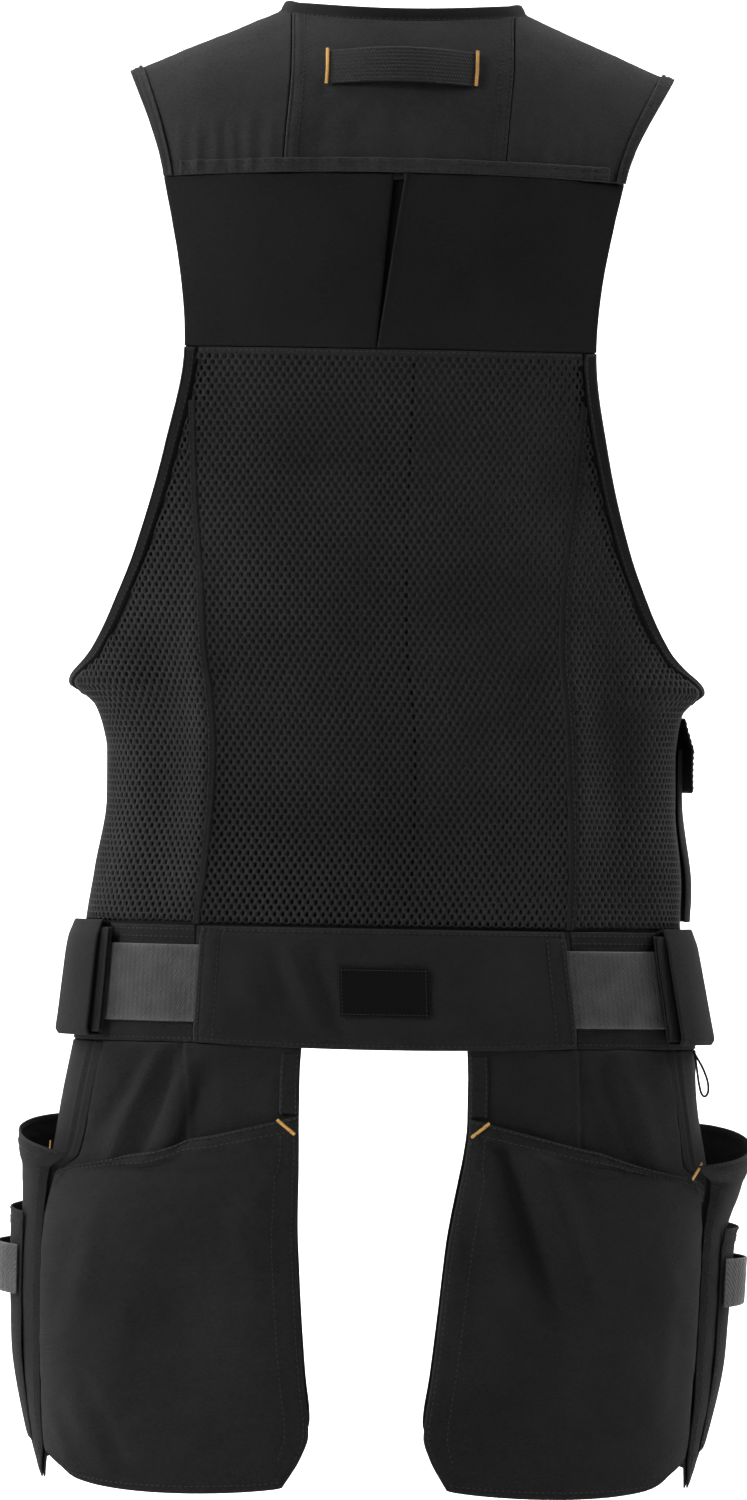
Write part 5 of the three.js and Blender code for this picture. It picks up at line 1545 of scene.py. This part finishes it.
def sideAngles(z):
    rear = angleAt(rearCurve(partOf(z)) * hipHalf, z)
    slip = slipCurve(partOf(z)) * hips["slip"]
    return rear + turn(rear, z, seamGap + slip), angleAt(innerCurve(partOf(z)) * form["gapHalf"], z, 1)


def hipPoint(angles, rounding, sign, u, z):
    start, end = angles(np.maximum(z, -drops["hem"]))
    sunk = z - (rounding * inwards(u) ** 0.7 - hips["rise"] * u) * np.clip((partOf(z) - 0.8) / 0.2, 0, 1)
    return body(sign * lerp(start, end, u), sunk - seamGap)


def sideLift(tuck, u, z):
    part = np.clip(partOf(z), 0, 1)
    drawn = hips["tuck"] * tuck * np.sin(np.pi * np.minimum(part / 0.3, 1))
    return hips["flare"] * np.sin(2.6 * part) * inwards(u) ** 0.8 - drawn * inwards(u) ** 0.5


def pouch(u, v, mouth, full, sharp):
    belly = np.where(v < 0.35, lerp(mouth, full, v / 0.35),
                     full * (1 - (np.maximum(v - 0.35, 0) / 0.65) ** 3))
    return belly * inwards(u) ** sharp


def levelFrom(top, v):
    return np.where(v < joinPart, lerp(top, -hip(joinPart), v / joinPart), -hip(v))


hipCreases = {  # from x, z, to x, z, width, height
    "left": [(-141, -664, -182, -756, 6, 4.6), (-129, -660, -164, -756, 5.5, -4.8),
             (-118, -668, -146, -752, 6, 3.2),
             (-152, -668, -190, -736, 5, -2.0), (-88, -690, -100, -726, 10, -1.2),
             (-68, -676, -74, -712, 5, 0.8)],
    "right": [(136, -658, 164, -746, 7, -3.0), (148, -656, 178, -748, 7, 2.6), (84, -672, 98, -722, 9, 2.0),
              (98, -672, 112, -718, 7, -1.0), (72, -676, 78, -704, 6, 0.8)],
}
holsterCreases = {
    "left": [(-75, -760, -84, -930, 16, 1.8), (-120, -770, -128, -940, 22, -2.4),
             (-196, -890, -168, -948, 7, 2.2),
             (-188, -880, -158, -944, 6, -2.2), (-205, -905, -192, -948, 4, 1.4),
             (-160, -830, -180, -930, 12, 1.6),
             (-190, -770, -206, -860, 8, -1.6), (-176, -760, -190, -850, 7, 1.2),
             (-66, -740, -96, -800, 9, 1.0)],
    "right": [(66, -686, 116, -846, 6.5, -6.5), (85, -690, 140, -850, 10, 6), (50, -700, 96, -850, 9, 4.2),
              (60, -800, 72, -940, 12, -1.8), (150, -790, 160, -930, 18, 1.6),
              (190, -800, 186, -920, 7, -1.4),
              (170, -780, 196, -850, 7, 1.2), (118, -846, 108, -930, 16, -1.6)],
}


# Folds along each side hip panel's rear edge: place, width, height.
edgeFolds = [(5, 1.6, 1.3), (9, 1.3, -1.3), (14, 1.8, 0.9)]
for side, sign, mouthShare, tuck in (("left", -1, 0.72, 0), ("right", 1, 0.95, 1)):
    def backPanelAt(u, v, sign=sign):
        return hipPoint(backAngles, hips["backRound"], sign, u, -hip(v))

    def backPanelRelief(g, side=side, sign=sign):
        p = g["p"]
        seamLine = np.interp(-p[..., 2], [664, 729], [128.0, 123.5] if side == "left" else [122.5, 124.5])
        aside = np.abs(p[..., 0]) - seamLine
        ridge = 1.0 * np.exp(-(aside / 1.5) ** 2) - 0.9 * np.exp(-((aside - 3) / 1.2) ** 2)
        top = smoothStep(p[..., 2], -760, -735)
        return (creases(p, hipCreases[side]) + ridge + 0.5 * softNoise(p[..., 0], p[..., 2], 24, 50)
                + grain(p, 51)) * top

    backPanel = layCloth(f"hip_back_{side}", backPanelAt, 0, canvasWall, "canvas",
                         [f"hip_back_panel_{side}"], 2.0,
                         backPanelRelief)

    def sidePanelAt(u, v, sign=sign):
        return hipPoint(sideAngles, hips["sideRound"], sign, u, -hip(v))

    def sidePanelRelief(g):
        strips = sum(high * np.exp(-((g["s"] - at) / wide) ** 2) for at, wide, high in edgeFolds)
        return strips * (1 - smoothStep(g["v"], 0.2, 0.32)) + 0.5 * softNoise(g["s"], g["t"] * 0.6, 34, 53)

    sidePanel = layCloth(f"hip_side_{side}", sidePanelAt,
                         lambda u, v, tuck=tuck: sideLift(tuck, u, -hip(v)), canvasWall,
                         "canvas", [f"hip_side_panel_{side}"], 2.6, sidePanelRelief)

    def holsterAt(u, v, sign=sign):
        top = -lerp(hips["innerDrop"], hips["outerDrop"], u)
        return hipPoint(backAngles, hips["backRound"], sign, u, levelFrom(top, v))

    def holsterRelief(g, side=side):
        p = g["p"]
        inside = smoothStep(g["t"], 5, 14) * smoothStep(g["tEnd"], 0, 16)
        folds = creases(p, holsterCreases[side]) + 0.9 * softNoise(p[..., 0], p[..., 2] * 0.6, 40, 60)
        hem = hemFold(g["t"], 11.5) + hemFold(g["s"], 9.5, 0.5) + hemFold(g["tEnd"], 8, 0.4)
        rows = sewn(g["t"], (2.0, 10.4)) + sewn(g["s"], (1.8, 8.4))
        rows = rows + sewn(g["sEnd"], (2.4,)) + sewn(g["tEnd"], (3.2,))
        ripple = sewnRipple(g["s"], g["t"] - 2, 61) + sewnRipple(g["s"], g["t"] - 10.4, 62)
        ripple = ripple + sewnRipple(g["t"], g["s"] - 8, 63)
        return hem + folds * inside + rows + ripple + grain(p, 64)

    holster = layCloth(f"holster_back_{side}", holsterAt,
                       lambda u, v: onCloth + pouch(u, v, hips["mouth"], hips["puff"], 0.3), canvasWall,
                       "canvas", [f"back_holster_{side}"], 1.6, holsterRelief)
    stitches(f"holster_stitching_{side}", [
        lineOn(holster, [0.01, 0.99], 0.008, count=300), lineOn(holster, [0.01, 0.99], 0.046, count=300),
        lineOn(holster, 0.012, [0.06, 0.93], count=300), lineOn(holster, 0.06, [0.06, 0.93], count=300),
        lineOn(holster, 0.985, [0.06, 0.9], count=300), lineOn(holster, [0.03, 0.97], 0.985, count=200)])

    def sideZ(u, v):
        return levelFrom(-hip(rimCurve(u)), v)

    def sideHolsterAt(u, v, sign=sign):
        return hipPoint(sideAngles, hips["sideRound"], sign, u, sideZ(u, v))

    def sideHeight(u, v, tuck=tuck, mouthShare=mouthShare):
        belly = pouch(u, v, hips["sideMouth"] * mouthShare, hips["sideMouth"] * 0.45, 0.3)
        return onCloth + sideLift(tuck, u, sideZ(u, v)) + belly

    def sideHolsterRelief(g):
        inside = smoothStep(g["t"], 6, 20) * smoothStep(g["tEnd"], 0, 12)
        folds = 0.8 * softNoise(g["s"], g["t"] * 0.6, 36, 70) * inside
        rows = sewn(g["t"], (2.2, 11)) + sewnRipple(g["s"], g["t"] - 11, 71)
        return hemFold(g["t"], 12) + folds + rows + grain(g["p"], 72)

    sideHolster = layCloth(f"holster_side_{side}", sideHolsterAt, sideHeight, canvasWall, "canvas",
                           [f"side_holster_{side}"], 2.0, sideHolsterRelief)
    stitches(f"side_holster_stitching_{side}", [
        lineOn(sideHolster, [0.02, 0.98], 0.01, count=400),
        lineOn(sideHolster, [0.02, 0.98], 0.05, count=400),
        lineOn(sideHolster, 0.02, [0.06, 0.95], count=300)])

    # Lower pocket on the side holster, and the webbing loop over it.
    pocketFrom, pocketTo, pocketTop, pocketLow = 0.09, 0.87, 0.32, 0.93

    def pocketAt(u, v, sideHolsterAt=sideHolsterAt):
        return sideHolsterAt(lerp(pocketFrom, pocketTo, u), lerp(pocketTop, pocketLow, v))

    def pocketHeight(u, v, sideHeight=sideHeight):
        base = sideHeight(lerp(pocketFrom, pocketTo, u), lerp(pocketTop, pocketLow, v))
        return base + onCloth + hips["pocketPuff"] * inwards(u) ** 0.6 * np.maximum(1 - v, 0) ** 0.7

    pocket = layCloth(f"pocket_side_{side}", pocketAt, pocketHeight, canvasWall, "canvas",
                      [f"side_pocket_{side}"], 2.0,
                      lambda g: hemFold(g["t"], 10) + 0.5 * softNoise(g["s"], g["t"], 30, 73)
                      * smoothStep(g["t"], 4, 14))
    stitches(f"side_pocket_stitching_{side}", [
        lineOn(pocket, [0.02, 0.98], 0.015, count=300), lineOn(pocket, [0.02, 0.98], 0.07, count=300),
        lineOn(pocket, 0.02, [0.08, 0.97]), lineOn(pocket, 0.98, [0.08, 0.97])])
    pinU = [(pin - pocketFrom) / (pocketTo - pocketFrom) for pin in (pocketFrom, 0.36, 0.56)]

    def strapU(u):
        return np.interp(u, [0, 0.5, 1], pinU)

    def strapV(u, v):
        return lerp(0.24, 0.17, u) + v * hips["loopWidth"] / (hip(0.93) - hip(0.39))

    def strapAt(u, v, pocketAt=pocketAt):
        return pocketAt(strapU(u), strapV(u, v))

    def strapHeight(u, v, pocketHeight=pocketHeight):
        bow = hips["loopBow"] * np.abs(np.sin(2 * np.pi * np.asarray(u))) ** 0.8
        return pocketHeight(strapU(u), strapV(u, v)) + onCloth + bow

    layCloth(f"strap_side_{side}", strapAt, strapHeight, webbingWall - 0.2, "webbing",
             [f"tool_loop_{side}"], 0.8, webbingRelief)

    stripLow = float(partOf(-hips["innerDrop"] + seamGap * 3))

    def stripAt(u, v, sign=sign):
        z = -hip(lerp(0.02, stripLow, v))
        return onBody(sign * (innerCurve(partOf(z)) * form["gapHalf"] + u * hips["strip"]), z - seamGap)

    strip = layCloth(f"hip_edge_{side}", stripAt, onCloth, canvasWall, "hem", [f"hip_edge_strip_{side}"],
                     1.5, declare=False)
    stitches(f"hip_edge_stitching_{side}", [lineOn(strip, 0.12, [0.02, 0.98]),
                                            lineOn(strip, 0.88, [0.02, 0.98])])

    gap = form["gapHalf"]
    tack(f"tack_back_{side}", (sign * (gap + 1.5), -hips["innerDrop"] - 12),
         (sign * (gap + 12.4), -hips["innerDrop"] - 3),
         onBody, onCloth + canvasWall + 0.5 + 2.6, [f"holster_tack_{side}"])
print("hips made")

# Small tacks at the rear corner of each side holster's mouth: from x, z, to x, z.
sideTacks = {"left": (-204.5, -733, -204.5, -741), "right": (193.5, -748, 198, -738.5)}
for side, (fromX, fromZ, toX, toZ) in sideTacks.items():
    tack(f"tack_side_{side}", (fromX, fromZ), (toX, toZ), onBody, onCloth * 2 + canvasWall + 5.5)

# Chest pocket
chestPocket = {"drop": 462, "puff": 8, "flapDrop": 449, "flapHeight": 50, "from": sideSeam + 0.04,
               "to": math.radians(132)}


def chestPocketAt(u, v):
    return body(lerp(chestPocket["from"], chestPocket["to"], u),
                -lerp(chestPocket["drop"] + 8, drops["belt"] - 6, v))


def chestPocketLift(u, v):
    belly = lerp(0.6, 1, np.minimum(v / 0.8, 2.2 - v / 0.8))
    return onCloth + chestPocket["puff"] * belly * inwards(u) ** 0.35


layCloth("chest_pocket_bag", chestPocketAt, chestPocketLift, canvasWall, "canvas", ["chest_pocket"], 2.2,
         lambda g: 0.6 * softNoise(g["s"], g["t"], 28, 80))


def chestFlapAt(u, v):
    return body(lerp(chestPocket["from"] - 0.01, chestPocket["to"] + 0.02, u),
                -(chestPocket["flapDrop"] + v * chestPocket["flapHeight"]))


def chestFlapLift(u, v):
    full = chestPocket["puff"] * 0.6 + canvasWall + 3.5
    return onCloth + full * np.minimum(1, v * 2.4 + 0.02)


flap = layCloth("chest_flap", chestFlapAt, chestFlapLift, canvasWall * 1.6, "canvas", ["chest_pocket_flap"],
                2.0,
                lambda g: 0.3 * softNoise(g["s"], g["t"], 20, 82))
stitches("chest_flap_stitching", [
    lineOn(flap, [0.02, 0.98], 0.93), lineOn(flap, 0.02, [0.06, 0.93]), lineOn(flap, 0.98, [0.06, 0.93]),
    lineOn(flap, [0.02, 0.98], 0.06)])
print("chest pocket made")

# Stage
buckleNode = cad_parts["belt_buckle"]
buckleNode.data.materials.clear()
buckleNode.data.materials.append(materials["plastic"])

studio = {  # places in metres but for the floor's drop
    "floorDrop": 985, "halfWide": 7, "near": -9, "bendFrom": 1.2, "bend": 1.6, "top": 6, "grey": 0.92,
    "key": 130, "fill": 5, "rim": 5, "backdrop": 150, "sky": 0.05,
}


def makeStage():
    bendFrom, bend, wide = studio["bendFrom"], studio["bend"], studio["halfWide"]
    profile = [(studio["near"], 0), (bendFrom, 0)]
    for step in range(1, 13):
        angle = step / 12 * math.pi / 2
        profile.append((bendFrom + bend * math.sin(angle), bend * (1 - math.cos(angle))))
    profile.append((bendFrom + bend, studio["top"]))
    points, faces = [], []
    for y, rise in profile:
        z = rise - studio["floorDrop"] / 1000
        points += [(-wide, y, z), (wide, y, z)]
    for i in range(len(profile) - 1):
        faces.append([2 * i, 2 * i + 1, 2 * i + 3, 2 * i + 2])
    mesh = bpy.data.meshes.new("backdrop")
    mesh.from_pydata(points, [], faces)
    mesh.polygons.foreach_set("use_smooth", np.ones(len(faces), bool))
    paint = bpy.data.materials.new("backdropPaint")
    paint.use_nodes = True
    shader = paint.node_tree.nodes["Principled BSDF"]
    shader.inputs["Base Color"].default_value = (studio["grey"],) * 3 + (1,)
    shader.inputs["Roughness"].default_value = 1
    mesh.materials.append(paint)
    obj = bpy.data.objects.new("backdrop", mesh)
    bpy.context.scene.collection.objects.link(obj)


def addLight(name, spot, target, size, power):
    data = bpy.data.lights.new(name, "AREA")
    data.shape = "RECTANGLE"
    data.size, data.size_y = size
    data.energy = power
    obj = bpy.data.objects.new(name, data)
    obj.location = spot
    obj.rotation_euler = (Vector(target) - Vector(spot)).to_track_quat("-Z", "Y").to_euler()
    bpy.context.scene.collection.objects.link(obj)


makeStage()
lights = [  # name, place, what it points at, width and height, power
    ("keyLight", (-2.9, -1.9, 1.3), (0, 0, -0.45), (1.1, 1.6), studio["key"]),
    ("topLight", (0.1, -0.6, 2.4), (0, 0, -0.3), (2.2, 1.4), studio["fill"]),
    ("sideLight", (2.6, -1.8, 0.3), (0, 0, -0.5), (1.2, 2.2), studio["rim"]),
    ("backdropLightLeft", (-1.9, 0.6, 1.6), (-0.38, 2.8, -0.2), (1.2, 2.4), studio["backdrop"]),
    ("backdropLightRight", (1.9, 0.6, 1.6), (0.38, 2.8, -0.2), (1.2, 2.4), studio["backdrop"]),
]
for light in lights:
    addLight(*light)
world = bpy.data.worlds.new("studio")
world.use_nodes = True
world.node_tree.nodes["Background"].inputs[0].default_value = (1, 1, 1, 1)
world.node_tree.nodes["Background"].inputs[1].default_value = studio["sky"]
bpy.context.scene.world = world
bpy.context.scene.view_settings.view_transform = "Standard"
